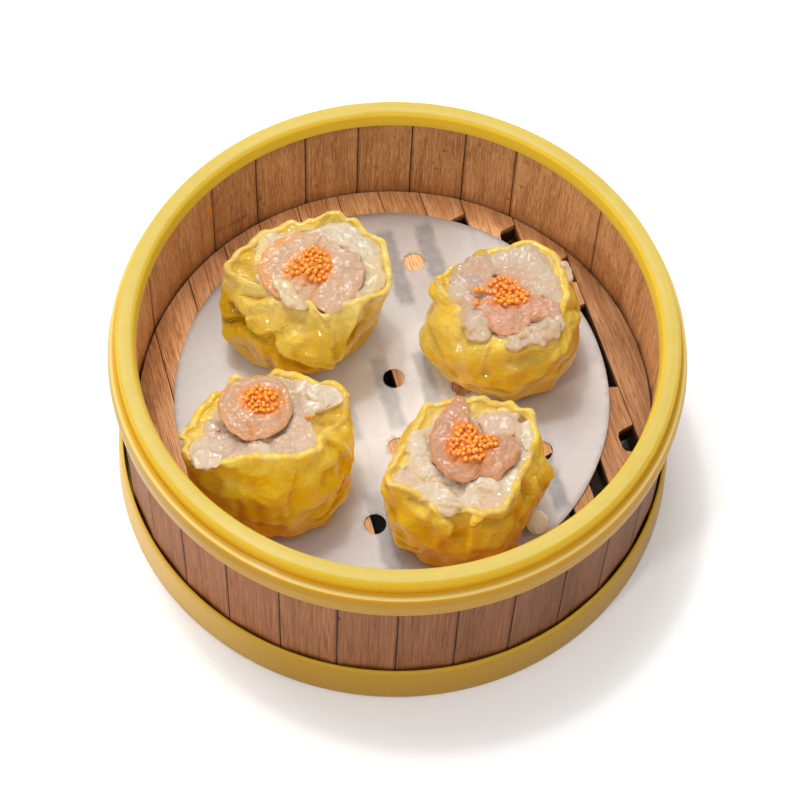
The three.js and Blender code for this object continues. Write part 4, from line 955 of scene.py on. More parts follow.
FEATURES = {
 'D1': [
  ('fold', [(298.7, 0.587), (305.4, 0.683), (315.6, 0.784), (326.2, 0.95), (329.6, 1.0)], 2.3, 5.0, 0.9, 3.0, (0.05, 0.12)),
  ('fold', [(246.4, 0.775), (250.3, 0.729), (255.9, 0.683), (262.7, 0.67), (268.9, 0.642), (282.9, 0.61), (290.2, 0.564), (298.1, 0.583)], 3.0, 6.0, 1.5, 3.0, (0.15, 0.12)),
  ('fold', [(241.9, 1.0), (232.3, 1.0), (222.8, 0.991), (214.3, 0.908), (210.4, 0.844)], 1.7, 4.0, 1.6, 2.2, (0.15, 0.1)),
  ('fold', [(214.9, 0.789), (222.2, 0.711), (229.5, 0.702), (240.2, 0.739), (245.2, 0.775), (249.8, 0.734)], 2.0, 4.5, 1.0, 2.5, (0.12, 0.2)),
  ('crease', [(188.4, 0.991), (150.2, 0.482), (145.7, 0.514), (145.7, 0.514)], 0.9, 1.0, (0.2, 0.3)),
  ('crease', [(196.3, 0.867), (202.5, 0.89), (213.8, 0.927), (229.5, 1.0)], 1.6, 1.0, (0.25, 0.1)),
  ('crease', [(199.7, 0.537), (206.4, 0.615), (216.0, 0.688), (225.0, 0.697)], 2.2, 1.3, (0.05, 0.3)),
  ('crease', [(195.2, 0.743), (201.9, 0.711), (213.8, 0.706)], 1.3, 1.3, (0.1, 0.3)),
  ('bump', 195.8, 0.615, 1.6, 2.6, 3.0),
  ('bump', 205.3, 0.39, 1.6, 2.4, 3.0),
  ('bump', 195.8, 1.0, 1.3, 4.0, 4.0),
  ('bump', 274.5, 0.867, -1.1, 4.2, 3.0),
  ('bump', 289.7, 0.972, 0.9, 4.0, 3.0),
  ('bump', 274.5, 0.697, 1.0, 6.0, 2.2),
  ('crease', [(261.6, 0.867), (268.9, 0.839), (277.9, 0.844), (284.6, 0.826)], 0.5, 1.0, (0.3, 0.3)),
  ('crease', [(295.9, 0.991), (295.9, 0.95), (298.7, 0.894)], 0.9, 1.2, (0.05, 0.5)),
  ('crease', [(264.9, 0.771), (272.2, 0.78), (278.4, 0.761)], -0.4, 0.7, (0.3, 0.3)),
  ('crease', [(334.7, 0.968), (331.9, 0.839), (325.7, 0.674), (312.8, 0.61)], 1.3, 1.7, (0.15, 0.2)),
  ('crease', [(341.4, 0.908), (349.3, 0.509), (346.5, 0.303)], -0.5, 0.9, (0.2, 0.2)),
  ('crease', [(321.8, 0.945), (313.9, 0.826), (304.9, 0.725)], -0.45, 0.7, (0.2, 0.2)),
  ('crease', [(344.2, 1.0), (334.7, 0.936), (327.9, 0.917)], 1.0, 1.2, (0.2, 0.3)),
  ('fold', [(243.0, 0.151), (243.6, 0.477), (243.0, 0.628), (241.9, 0.706)], 0.7, 4.0, 0.5, 2.0, (0.1, 0.3)),
  ('crease', [(261.0, 0.651), (262.1, 0.578), (261.0, 0.156)], 1.0, 1.4, (0.1, 0.1)),
 ],
 'D2': [
  ('fold', [(253.1, 0.624), (252.6, 0.807), (253.1, 0.917), (253.1, 0.986)], 0.75, 4.0, 0.4, 1.6, (0.1, 0.1)),
  ('crease', [(204.8, 1.0), (218.2, 0.986), (228.4, 0.954), (239.1, 0.94)], 0.9, 1.6, (0.2, 0.2)),
  ('fold', [(295.3, 0.606), (305.4, 0.679), (313.3, 0.789), (318.4, 0.894)], 0.9, 4.0, 0.5, 1.6, (0.15, 0.1)),
  ('crease', [(314.4, 0.821), (308.2, 0.679), (299.2, 0.592)], -0.4, 0.6, (0.2, 0.2)),
  ('crease', [(185.1, 0.573), (203.6, 0.647), (220.5, 0.61), (232.3, 0.436)], 1.2, 2.0, (0.2, 0.15)),
  ('crease', [(201.4, 0.986), (218.8, 0.963), (230.1, 0.881), (240.8, 0.775)], 1.2, 2.4, (0.15, 0.25)),
  ('bump', 206.4, 0.853, 0.9, 3.6, 6.0),
  ('bump', 228.4, 0.78, 0.5, 2.2, 2.2),
  ('crease', [(268.3, 0.839), (277.3, 0.839), (286.9, 0.858), (302.6, 0.872), (313.9, 0.872)], 1.3, 2.4, (0.2, 0.15)),
  ('bump', 281.8, 0.78, 0.8, 4.5, 3.2),
  ('bump', 266.6, 0.959, 0.5, 3.0, 2.0),
  ('crease', [(346.5, 1.0), (349.3, 0.959), (365.6, 0.674)], 1.4, 1.2, (0.1, 0.1)),
  ('bump', 4.5, 0.862, 1.0, 3.0, 3.0),
  ('bump', 340.3, 0.908, 0.9, 2.2, 2.0),
  ('fold', [(338.6, 1.0), (326.8, 1.0), (321.8, 0.913), (315.0, 0.812)], 1.2, 4.5, 0.9, 2.0, (0.15, 0.15)),
  ('crease', [(337.5, 0.606), (324.0, 0.592), (312.8, 0.532)], 0.8, 1.3, (0.2, 0.2)),
  ('crease', [(229.5, 0.339), (242.4, 0.362), (256.5, 0.454), (272.2, 0.454), (287.4, 0.44)], 0.9, 1.1, (0.1, 0.3)),
  ('crease', [(255.4, 0.615), (264.4, 0.569), (277.3, 0.587)], 0.4, 1.6, (0.3, 0.3)),
  ('bump', 243.6, 0.606, 0.4, 2.4, 1.8),
 ],
 'D3': [
  ('fold', [(289.1, 0.518), (291.9, 0.693), (298.7, 0.835), (303.8, 0.94)], 0.95, 5.0, 0.5, 2.0, (0.08, 0.08)),
  ('crease', [(244.7, 0.968), (249.2, 0.807), (253.7, 0.601), (253.7, 0.372)], 0.8, 1.4, (0.1, 0.1)),
  ('fold', [(343.7, 1.0), (345.9, 0.922), (348.8, 0.752), (351.0, 0.573)], 1.7, 4.0, 1.1, 2.2, (0.15, 0.1)),
  ('bump', 0.6, 1.0, -2.2, 2.6, 2.4),
  ('crease', [(328.5, 0.592), (321.2, 0.472), (311.6, 0.431), (299.2, 0.491)], -0.9, 0.9, (0.15, 0.3)),
  ('crease', [(334.1, 0.491), (326.2, 0.413), (315.0, 0.339), (303.2, 0.353)], 1.0, 1.2, (0.15, 0.3)),
  ('crease', [(342.0, 0.583), (334.7, 0.523), (327.9, 0.5)], 0.8, 1.0, (0.2, 0.2)),
  ('crease', [(336.4, 0.784), (325.1, 0.789), (317.8, 0.693)], 1.3, 1.6, (0.2, 0.3)),
  ('crease', [(322.9, 0.954), (312.8, 0.89), (307.1, 0.789)], 0.6, 1.6, (0.3, 0.3)),
  ('bump', 328.5, 0.89, 0.9, 3.0, 2.2),
  ('bump', 276.2, 0.927, 0.35, 1.5, 1.3),
  ('crease', [(268.9, 0.693), (268.9, 0.578), (269.4, 0.307)], 0.9, 1.4, (0.3, 0.1)),
  ('crease', [(284.1, 0.656), (284.1, 0.546), (285.2, 0.33)], 0.7, 1.4, (0.3, 0.1)),
  ('crease', [(227.8, 0.922), (232.3, 0.775), (241.3, 0.661)], 0.6, 2.0, (0.3, 0.3)),
  ('crease', [(259.9, 0.872), (267.2, 0.812), (279.0, 0.789), (289.7, 0.784)], 0.5, 2.0, (0.3, 0.3)),
  ('crease', [(195.8, 1.0), (167.6, 0.372), (163.1, 0.404)], 1.2, 1.0, (0.2, 0.2)),
  ('bump', 321.2, 0.156, 0.8, 1.8, 1.2),
 ],
 'D4': [
  ('fold', [(278.4, 0.995), (275.6, 0.913), (274.5, 0.821), (273.9, 0.693), (274.5, 0.555)], 1.9, 4.0, 1.0, 2.4, (0.04, 0.3)),
  ('fold', [(261.6, 0.638), (261.0, 0.821), (261.6, 0.894), (258.2, 0.945), (250.9, 0.991)], 1.2, 4.0, 0.9, 2.4, (0.3, 0.15)),
  ('crease', [(267.2, 1.0), (266.6, 0.885), (266.6, 0.674)], 1.3, 2.2, (0.05, 0.3)),
  ('bump', 279.0, 0.936, 0.8, 1.6, 1.6),
  ('crease', [(281.8, 0.959), (289.1, 0.913), (297.6, 0.872), (303.2, 0.89), (309.4, 0.936)], 1.7, 2.0, (0.15, 0.2)),
  ('crease', [(217.7, 0.927), (226.1, 0.94), (234.0, 0.977), (239.1, 1.0)], 1.3, 1.9, (0.2, 0.2)),
  ('bump', 237.9, 0.89, 0.9, 3.2, 2.0),
  ('crease', [(243.0, 1.0), (243.6, 0.936), (244.1, 0.817)], 0.8, 1.0, (0.15, 0.3)),
  ('crease', [(259.3, 0.853), (258.2, 0.711), (255.9, 0.505)], 0.9, 1.6, (0.3, 0.2)),
  ('crease', [(327.4, 0.995), (334.1, 0.885), (332.4, 0.803), (324.0, 0.78)], 1.9, 2.2, (0.2, 0.3)),
  ('fold', [(344.8, 0.665), (344.8, 0.812), (349.3, 0.89)], 0.9, 3.5, 0.7, 2.0, (0.2, 0.1)),
  ('bump', 357.8, 0.674, 1.2, 2.6, 3.0),
  ('crease', [(309.4, 0.908), (315.6, 0.766), (321.2, 0.583)], 1.0, 1.5, (0.2, 0.2)),
  ('crease', [(214.9, 0.413), (226.1, 0.445), (239.6, 0.463)], -0.7, 1.0, (0.2, 0.2)),
  ('crease', [(218.2, 0.344), (228.9, 0.399), (241.3, 0.385)], 0.8, 1.0, (0.2, 0.2)),
  ('bump', 297.0, 0.661, 1.0, 5.5, 4.0),
  ('bump', 230.1, 0.711, 0.6, 4.0, 3.0),
  ('crease', [(205.3, 0.596), (214.3, 0.642), (222.2, 0.601)], 0.7, 1.4, (0.2, 0.2)),
 ],
}
LIPS = {
 'D1': [[5.0, 20.9, 32.3], [20.0, 21.8, 33.2], [28.0, 20.6, 33.6], [35.0, 19.6, 34], [40.0, 20.1, 34.3], [51.0, 18.2, 34.7], [60.0, 15.7, 35], [68.0, 13.2, 35.1], [79.0, 11.1, 35], [96.0, 10.4, 34.8], [114.0, 10.3, 34.6], [126.0, 11.4, 34.4], [136.0, 13.4, 34.1], [150.0, 14.0, 33.8], [162.0, 13.4, 33.7], [171.0, 13.4, 33.5], [184.0, 12.4, 33.3], [197.0, 12.7, 33], [210.0, 12.6, 32.5], [226.0, 12.1, 31.6], [242.0, 12.6, 31.6], [260.0, 12.2, 31.6], [280.0, 11.4, 31.6], [292.0, 13.8, 31.0], [297.0, 15.6, 30.0], [303.0, 15.3, 30.6], [312.0, 15.8, 31.5], [323.0, 16.8, 32], [330.0, 18.3, 32], [340.0, 20.2, 31.5], [354.0, 22.5, 31]],
 'D2': [[13.0, 14.3, 32], [27.0, 13.4, 32.6], [41.0, 14.5, 33.6], [54.0, 14.2, 34.2], [72.0, 13.3, 34.2], [82.0, 12.3, 34], [94.0, 11.5, 33.4], [109.0, 12.0, 33], [120.0, 12.7, 32.2], [135.0, 14.1, 31.2], [151.0, 15.7, 30.0], [162.0, 16.3, 29.6], [171.0, 16.2, 29.6], [181.0, 16.2, 29.2], [191.0, 15.1, 28.8], [204.0, 13.9, 28.4], [217.0, 15.5, 27.9], [229.0, 16.6, 27.4], [241.0, 16.1, 26.9], [249.0, 14.4, 26.9], [257.0, 13.0, 27.3], [268.0, 13.7, 27.5], [277.0, 15.7, 27.3], [294.0, 15.9, 27.8], [309.0, 17.6, 28.2], [318.0, 19.6, 28.6], [328.0, 17.9, 29.3], [340.0, 16.1, 30.2], [357.0, 15.4, 31]],
 'D3': [[2.0, 12.0, 32.6], [13.0, 12.9, 32.2], [18.0, 15.8, 31.9], [18.0, 20.1, 31.4], [19.0, 22.6, 31], [29.0, 23.2, 31.3], [36.0, 21.6, 31], [40.0, 19.1, 30.2], [46.0, 17.7, 29.8], [57.0, 17.1, 29.3], [67.0, 16.2, 28.9], [81.0, 15.7, 28.6], [96.0, 15.2, 28.4], [111.0, 14.3, 28.2], [131.0, 13.5, 28.2], [149.0, 13.4, 28.3], [163.0, 13.8, 28.5], [173.0, 13.9, 28.6], [182.0, 15.1, 28.6], [191.0, 15.9, 29], [198.0, 18.5, 29.5], [202.0, 20.6, 30], [209.0, 22.4, 30.6], [215.0, 22.7, 31], [222.0, 20.8, 31.6], [229.0, 18.6, 32.4], [233.0, 16.0, 33.3], [246.0, 13.6, 34.2], [264.0, 12.2, 34.6], [286.0, 12.7, 34.9], [305.0, 14.4, 34.7], [320.0, 15.4, 34.3], [332.0, 16.1, 33.9], [342.0, 15.0, 33.5], [347.0, 12.6, 33.1]],
 'D4': [[1.0, 16.5, 32], [14.0, 17.4, 32.6], [27.0, 19.0, 33], [35.0, 19.9, 33.2], [42.0, 18.2, 33], [48.0, 16.8, 33], [55.0, 15.2, 33], [63.0, 13.6, 33.2], [69.0, 12.1, 33.4], [76.0, 10.5, 33.6], [84.0, 9.6, 33.7], [95.0, 10.4, 33.8], [106.0, 11.5, 33.6], [117.0, 12.3, 33.2], [128.0, 12.8, 33], [143.0, 11.9, 32.8], [154.0, 12.1, 32.3], [164.0, 15.8, 31.7], [176.0, 15.5, 31.6], [185.0, 15.0, 31.2], [196.0, 16.8, 31], [199.0, 19.9, 30.6], [203.0, 20.9, 30.4], [214.0, 19.0, 30.1], [229.0, 17.2, 29.8], [240.0, 16.9, 29.6], [250.0, 18.0, 29.2], [258.0, 17.3, 28.8], [264.0, 16.0, 28.8], [274.0, 15.5, 29.1], [281.0, 16.8, 29.7], [291.0, 17.6, 30.5], [302.0, 18.7, 31], [308.0, 17.7, 31.4], [319.0, 15.9, 31.9], [335.0, 15.0, 32], [350.0, 15.9, 32]],
}
for _k in LIPS:
    SPECS[_k]['lip'] = LIPS[_k]
for _k in FEATURES:
    SPECS[_k]['features'] = FEATURES[_k]
def extra(name, G, TH, V, W):
    return []


FOOD = {
 'D1': dict(
   fill_edge=[[0, 2.2], [45, 1.4], [100, 1.0], [150, 1.4], [200, 2.0], [240, 1.2], [262, 2.0], [285, 3.5], [300, 3.5], [325, 1.6]],
   fill_mid=33.2,
   lumps=[
     (10.0, 9.86, 1.6, 4.2, 3.4, -20, 4, 'cream'),
     (16.99, 6.66, 1.4, 4.2, 2.4, -35, 4, 'cream'),
     (13.07, 12.84, 0.8, 3.0, 2.0, -30, 3, 'cream'),
     (-10.25, 7.82, 1.5, 3.0, 2.6, 35, 4, 'cream'),
     (-11.66, 4.77, 0.9, 2.2, 2.4, 20, 3, 'cream'),
     (-2.41, -7.91, 1.5, 6.4, 2.5, -38, 5, 'jelly'),
     (-5.77, -5.59, 1.0, 2.2, 2.4, 0, 4, 'jelly'),
     (2.21, -10.14, 0.7, 2.6, 1.5, -30, 4, 'jelly'),
     (19.42, -2.27, 0.2, 3.2, 4.0, 0, 2.5, 'jelly'),
     (18.55, 1.95, 0.6, 2.2, 2.4, 0, 3, 'jelly'),
     (20.2, -4.96, 0.4, 2.0, 2.0, 0, 3, 'jelly'),
     (7.19, -13.04, -2.6, 1.8, 1.8, 0, 3, 'deep_shade'),
   ],
   tubes=[
   ],
   discs=[
     {'outline': [(16.67, -0.87, 33.8), (16.42, -4.07, 33.4), (15.62, -6.9, 33.0), (14.47, -9.18, 32.6), (12.51, -11.32, 32.2), (10.37, -12.9, 31.8), (8.04, -14.0, 31.4), (5.91, -13.11, 31.7), (3.92, -11.8, 32.1), (1.98, -11.41, 32.2), (-0.9, -11.34, 32.4), (-4.12, -10.92, 32.6), (-7.41, -9.49, 33.0), (-9.79, -7.49, 33.2), (-11.24, -5.05, 33.4), (-12.0, -2.18, 33.6), (-11.81, 0.51, 33.9), (-10.71, 3.14, 34.1), (-8.95, 5.63, 34.3), (-6.68, 7.77, 34.5), (-3.87, 9.25, 34.7), (-0.69, 10.17, 34.8), (2.19, 10.59, 34.8), (4.51, 9.84, 34.8), (5.92, 7.86, 34.7), (8.25, 6.72, 34.6), (11.24, 5.31, 34.4), (14.2, 4.28, 34.2), (15.93, 2.02, 34.0)], 'mid': (2.67, -2.03, 34.8), 'th': 1.5, 'seed': 3, 'orange': 0.55, 'rough': 0.09, 'rag': 0.22, 'pale': 1.0, 'power': 2.3, 'west': 1.0, 'grooves': [([(4.41, 8.83), (4.1, 5.91), (2.99, 3.14)], 0.7, 0.5, 0.25), ([(2.98, -14.31), (2.71, -11.7), (3.25, -8.65), (4.56, -6.68)], 0.8, 0.5, 0.8), ([(-3.79, -5.69), (-4.66, -2.32), (-3.6, 0.8), (-1.17, 2.87)], 0.5, 0.8, 0.35), ([(-8.07, 0.52), (-5.99, -1.65), (-4.19, -4.58)], 0.2, 0.4, 0.4), ([(16.38, -0.99), (13.87, -1.91), (10.95, -1.33)], 0.2, 0.5, 0.1), ([(15.0, -10.93), (12.4, -9.96), (9.75, -8.24)], 0.22, 0.5, 0.15), ([(8.26, -4.55), (10.3, -6.69), (11.11, -9.66)], 0.2, 0.6, 0.2), ([(-6.55, 6.38), (-3.8, 3.86), (-1.78, 2.45)], 0.15, 0.5, 0.25)]},
   ],
   blobs=[
     {'pts': [(-7.68, -5.17, 35.12, 0.5), (-6.07, -7.47, 34.96, 1.7), (-3.67, -9.98, 34.48, 2.4), (-1.16, -11.81, 33.94, 2.3), (0.79, -12.56, 33.27, 1.7), (2.22, -12.66, 32.56, 0.8)], 'flat': 0.55, 'seg': 0, 'edge': 0, 'seed': 5, 'orange': 0, 'kind': 'jelly'},
     {'pts': [(7.0, 11.48, 34.65, 1.0), (9.36, 9.67, 34.15, 3.0), (12.66, 8.47, 33.73, 3.4), (15.65, 7.12, 33.46, 2.8), (18.65, 5.53, 32.88, 2.4), (20.34, 4.23, 32.85, 1.0)], 'flat': 0.55, 'seg': 0, 'edge': 0, 'seed': 51, 'orange': 0, 'kind': 'cream'},
     {'pts': [(-12.16, 3.05, 33.36, 0.8), (-11.66, 5.14, 33.1, 2.0), (-9.87, 7.31, 33.06, 2.8), (-7.41, 9.02, 33.72, 1.6)], 'flat': 0.55, 'seg': 0, 'edge': 0, 'seed': 52, 'orange': 0, 'kind': 'cream'},
   ],
   roe=[
     {'c': (3.25, -1.11), 'rx': 4.01, 'ry': 4.71, 'n': 34},
     {'c': (-1.78, -2.69), 'rx': 2.73, 'ry': 2.64, 'n': 6},
     {'c': (3.78, -4.37), 'rx': 2.56, 'ry': 2.07, 'n': 6},
     {'c': (0.29, -7.37), 'rx': 0.51, 'ry': 0.6, 'n': 1},
     {'c': (2.07, 2.45), 'rx': 1.92, 'ry': 1.51, 'n': 4},
   ]),
 'D2': dict(
   fill_edge=[[0, 1.0], [30, 1.6], [60, 1.8], [90, 0.6], [115, 0.2], [135, -0.6], [150, -1.0], [165, 0.6], [185, 0.4], [210, 0.4], [240, 0.5], [262, 1.0], [285, 0.2], [310, 0.0], [335, 0.4]],
   fill_mid=31.6,
   lumps=[
     (-12.48, 7.07, 1.6, 4.6, 3.4, 40, 2.6, 'grey'),
     (-8.18, 7.87, 1.2, 3.6, 2.6, 20, 2.6, 'grey'),
     (-2.01, 9.15, 0.6, 4.0, 2.0, 0, 3, 'cream'),
     (4.28, 9.18, 0.9, 4.4, 2.6, -10, 3, 'cream'),
     (8.15, 5.63, 1.3, 3.8, 3.4, -30, 3, 'cream'),
     (9.87, 0.8, 1.2, 2.6, 2.6, 0, 3, 'cream'),
     (13.02, 3.17, 0.7, 2.2, 2.6, 0, 3, 'cream'),
     (-5.54, 2.47, 0.7, 3.0, 2.6, 0, 3, 'grey'),
     (-9.86, 2.1, 0.9, 3.2, 2.2, -10, 4, 'lilac'),
     (-13.52, 0.97, 0.8, 2.6, 2.4, 0, 3, 'cream'),
     (-15.0, -0.54, 0.6, 2.0, 2.0, 0, 3, 'cream'),
     (-11.79, -3.06, 0.6, 3.2, 2.2, -30, 3, 'grey'),
     (-8.4, -9.34, 1.5, 3.4, 3.0, -20, 3, 'cream'),
     (-5.46, -11.84, 0.5, 2.0, 1.4, 0, 3, 'cream'),
     (2.41, -14.33, 1.5, 4.2, 1.6, 18, 4, 'cream'),
     (7.59, -11.88, 2.2, 4.4, 2.0, 25, 4, 'cream'),
     (11.9, -10.39, 2.2, 3.2, 2.6, 15, 4, 'cream'),
     (14.3, -7.38, 0.6, 1.8, 2.6, 0, 3, 'cream'),
     (14.14, -2.17, 0.5, 1.6, 2.6, 0, 3, 'cream'),
     (2.35, -7.28, -1.9, 6.4, 3.4, 0, 5, 'grey'),
     (-4.06, 4.04, -1.5, 1.2, 0.6, 20, 3, 'deep_shade'),
     (-3.31, -12.25, -1.5, 1.2, 0.9, -25, 3, 'deep_shade'),
     (8.88, -2.08, -1.2, 2.1, 0.6, 12, 3, 'deep_shade'),
     (7.34, -13.17, -0.5, 0.9, 0.6, 0, 3, 'deep_shade'),
   ],
   tubes=[
     {'pts': [(11.86, -1.47, 30.88, 1.2), (12.68, -3.57, 30.48, 1.7), (12.74, -6.26, 30.14, 1.6), (12.03, -8.2, 30.0, 1.0)], 'flat': 0.6, 'seg': 0, 'edge': 1, 'seed': 8, 'orange': 0.8, 'pale': 0.5},
     {'pts': [(-10.41, 0.59, 30.7, 1.4), (-8.54, 0.08, 30.85, 1.9), (-6.69, 0.31, 31.5, 1.4)], 'flat': 0.5, 'seg': 0, 'edge': 0, 'seed': 81, 'orange': 0.2, 'pale': 0.6},
   ],
   discs=[
     {'outline': [(-8.14, -5.17, 30.2), (-7.74, -3.55, 30.6), (-5.3, -2.67, 31.2), (-2.16, -3.21, 31.2), (0.97, -3.38, 31.2), (4.08, -2.63, 31.2), (6.24, -1.51, 31.4), (7.8, -1.04, 31.4), (10.01, -1.15, 31.2), (11.92, -2.13, 30.9), (12.91, -4.1, 30.6), (12.66, -6.26, 30.2), (10.84, -7.59, 29.8), (8.68, -7.97, 29.6), (6.53, -8.84, 29.3), (5.02, -10.58, 29.0), (3.2, -11.97, 28.7), (1.05, -12.71, 28.5), (-1.13, -12.67, 28.5), (-3.03, -11.99, 28.7), (-4.66, -10.33, 29.1), (-5.98, -8.46, 29.5), (-7.3, -6.77, 29.9)], 'mid': (2.05, -6.92, 30.2), 'th': 1.45, 'seed': 6, 'orange': 0.55, 'rough': 0.28, 'rag': 0.3, 'pale': 0.45, 'grooves': [([(5.9, -1.32), (7.05, -4.02), (7.1, -6.96), (6.38, -10.3)], 0.65, 0.42, 0.9), ([(10.61, -1.95), (9.72, -5.33), (8.68, -8.51)], 0.4, 0.4, 0.7), ([(-7.76, -4.95), (-5.29, -4.06), (-2.76, -5.37)], 0.25, 0.6, 0.8), ([(-0.89, -5.26), (0.73, -8.09), (0.49, -11.03)], 0.22, 0.5, 0.25), ([(2.86, -5.39), (4.47, -8.23), (3.9, -10.82)], 0.25, 0.5, 0.3), ([(-4.57, -7.69), (-2.02, -10.1), (-0.08, -13.26)], 0.2, 0.5, 0.25)]},
   ],
   blobs=[
     {'pts': [(13.96, 8.09, 33.78, 0.5), (15.0, 8.19, 32.95, 1.0), (15.92, 7.32, 31.65, 1.35), (16.31, 6.01, 30.25, 1.35), (16.08, 4.34, 28.96, 1.1), (15.67, 2.91, 28.18, 0.5)], 'flat': 0.85, 'seg': 0, 'edge': 0, 'seed': 61, 'orange': 0, 'kind': 'cream'},
     {'pts': [(-0.12, -14.67, 27.5, 0.8), (1.72, -15.1, 27.61, 1.6), (4.12, -13.62, 27.79, 2.6), (6.83, -12.12, 28.15, 3.3), (9.89, -11.08, 28.31, 3.7), (12.35, -9.77, 28.82, 3.2), (13.71, -7.79, 29.82, 1.9), (13.98, -5.88, 30.7, 0.8)], 'flat': 0.62, 'seg': 0, 'edge': 0, 'seed': 62, 'orange': 0, 'kind': 'cream'},
     {'pts': [(-11.53, -9.17, 27.88, 1.2), (-10.0, -9.08, 27.52, 2.8), (-8.11, -10.18, 27.36, 3.4), (-6.46, -12.27, 27.12, 2.8), (-5.41, -14.15, 27.08, 1.2)], 'flat': 0.6, 'seg': 0, 'edge': 0, 'seed': 63, 'orange': 0, 'kind': 'cream'},
     {'pts': [(-15.97, 0.02, 29.45, 1.0), (-15.09, 0.81, 29.39, 2.2), (-13.88, 1.74, 29.79, 2.2), (-12.33, 2.09, 30.54, 1.2)], 'flat': 0.55, 'seg': 0, 'edge': 0, 'seed': 64, 'orange': 0, 'kind': 'cream'},
   ],
   roe=[
     {'c': (-1.46, 1.05), 'rx': 3.43, 'ry': 2.02, 'n': 10},
     {'c': (1.17, -1.91), 'rx': 3.43, 'ry': 2.75, 'n': 16},
     {'c': (-0.94, -3.94), 'rx': 2.81, 'ry': 1.32, 'n': 6},
     {'c': (3.71, -2.24), 'rx': 1.72, 'ry': 1.83, 'n': 5},
     {'c': (-7.12, -1.2), 'rx': 1.56, 'ry': 0.92, 'n': 3},
     {'c': (-8.85, -4.37), 'rx': 0.78, 'ry': 1.03, 'n': 2},
     {'c': (-4.82, -0.88), 'rx': 1.56, 'ry': 0.92, 'n': 2},
   ]),
 'D3': dict(
   fill_edge=[[0, 2.2], [30, 1.6], [60, 2.4], [100, 1.6], [140, 1.6], [170, 1.8], [190, 1.4], [210, 1.0], [235, 1.8], [265, 1.6], [290, 1.6], [315, 2.2], [340, 3.2]],
   fill_mid=29.2,
   lumps=[
     (14.69, 10.73, 1.3, 4.2, 2.6, -20, 3.5, 'cream'),
     (18.01, 8.9, 1.0, 2.6, 2.4, 0, 3, 'cream'),
     (10.38, 12.42, 0.5, 2.4, 1.4, 0, 3, 'cream'),
     (12.41, 5.94, 0.5, 1.8, 2.2, 0, 3, 'cream'),
     (9.37, -1.52, 0.8, 4.6, 3.6, -20, 2.4, 'grey'),
     (4.54, -5.37, 0.5, 4.6, 2.6, 10, 2.4, 'grey'),
     (9.65, 3.92, 0.6, 2.8, 3.0, 0, 2.5, 'grey'),
     (0.33, -8.49, 0.9, 1.6, 1.2, 0, 3, 'cream'),
     (-1.79, -5.75, 0.9, 0.7, 2.2, 30, 3, 'cream'),
     (-6.08, -7.68, 0.7, 3.2, 1.8, 0, 3, 'lilac'),
     (-10.53, -4.27, 0.6, 2.2, 1.8, 0, 3, 'lilac'),
     (-13.6, -2.19, 0.8, 1.7, 2.6, -30, 3, 'grey'),
     (-17.07, -9.49, 0.9, 3.2, 2.6, 0, 3, 'cream'),
     (-14.03, -11.44, 0.9, 3.0, 2.0, 0, 3, 'cream'),
     (-13.72, -7.7, 0.6, 2.6, 1.6, 0, 3, 'cream'),
     (7.29, 10.31, 0.4, 1.4, 1.4, 0, 3, 'jelly'),
   ],
   tubes=[
     {'pts': [(-3.22, -5.27, 32.04, 0.7), (-2.15, -6.85, 31.58, 0.9), (-1.12, -8.07, 31.28, 0.9), (0.39, -9.19, 31.26, 0.8), (2.3, -9.38, 31.4, 0.5)], 'flat': 0.8, 'seg': 0, 'edge': 0, 'seed': 14, 'orange': 0.0, 'pale': 1.3},
   ],
   discs=[
     {'outline': [(6.87, 4.25, 33.0), (6.84, 0.95, 33.0), (5.61, -2.05, 33.0), (3.23, -4.38, 33.0), (0.48, -5.86, 32.9), (-1.55, -6.31, 32.7), (-3.09, -6.84, 32.7), (-5.18, -6.41, 32.8), (-7.67, -4.98, 32.9), (-10.24, -2.59, 32.9), (-12.04, 0.64, 32.8), (-12.62, 3.79, 32.7), (-12.0, 7.02, 32.6), (-9.99, 9.87, 32.5), (-6.94, 11.92, 32.5), (-3.79, 12.92, 32.6), (-1.23, 13.13, 32.7), (1.7, 12.58, 32.8), (4.4, 10.9, 32.9), (6.05, 7.9, 33.0)], 'mid': (-2.64, 2.3, 33.8), 'th': 1.75, 'seed': 13, 'orange': 0.6, 'rough': 0.07, 'rag': 0.1, 'pale': 0.1, 'power': 2.5, 'grooves': [([(-1.49, -8.24), (-2.66, -6.15), (-3.21, -4.37), (-3.79, -2.96)], 1.0, 0.5, 0.9), ([(-3.73, -3.68), (-6.34, -2.75), (-8.43, -0.33)], 0.18, 0.5, 0.2), ([(3.64, 8.49), (5.53, 4.18), (4.28, -0.65), (1.31, -3.37), (-1.76, -4.65)], 0.16, 0.5, 0.35), ([(-8.69, 2.95), (-7.02, 5.99), (-4.63, 7.98)], 0.15, 0.5, 0.4), ([(-0.99, 1.95), (0.46, -0.52), (0.05, -3.45)], 0.2, 0.6, 0.3), ([(-6.88, 4.16), (-8.69, 2.95), (-9.44, 0.34)], 0.15, 0.5, 0.35)]},
   ],
   blobs=[
     {'pts': [(-18.35, -10.19, 31.4, 1.0), (-17.31, -10.85, 31.54, 2.1), (-15.93, -11.89, 31.66, 2.9), (-13.6, -12.97, 32.38, 2.7), (-11.57, -12.78, 33.12, 1.8), (-10.05, -12.08, 33.98, 0.7)], 'flat': 0.6, 'seg': 0, 'edge': 0, 'seed': 71, 'orange': 0, 'kind': 'cream'},
     {'pts': [(10.4, 12.27, 30.04, 0.8), (12.45, 10.44, 30.3, 2.0), (15.08, 9.51, 30.36, 3.2), (17.36, 9.1, 30.45, 3.0), (18.7, 8.17, 30.31, 2.2), (19.24, 7.25, 30.2, 1.1)], 'flat': 0.45, 'seg': 0, 'edge': 0, 'seed': 72, 'orange': 0, 'kind': 'cream'},
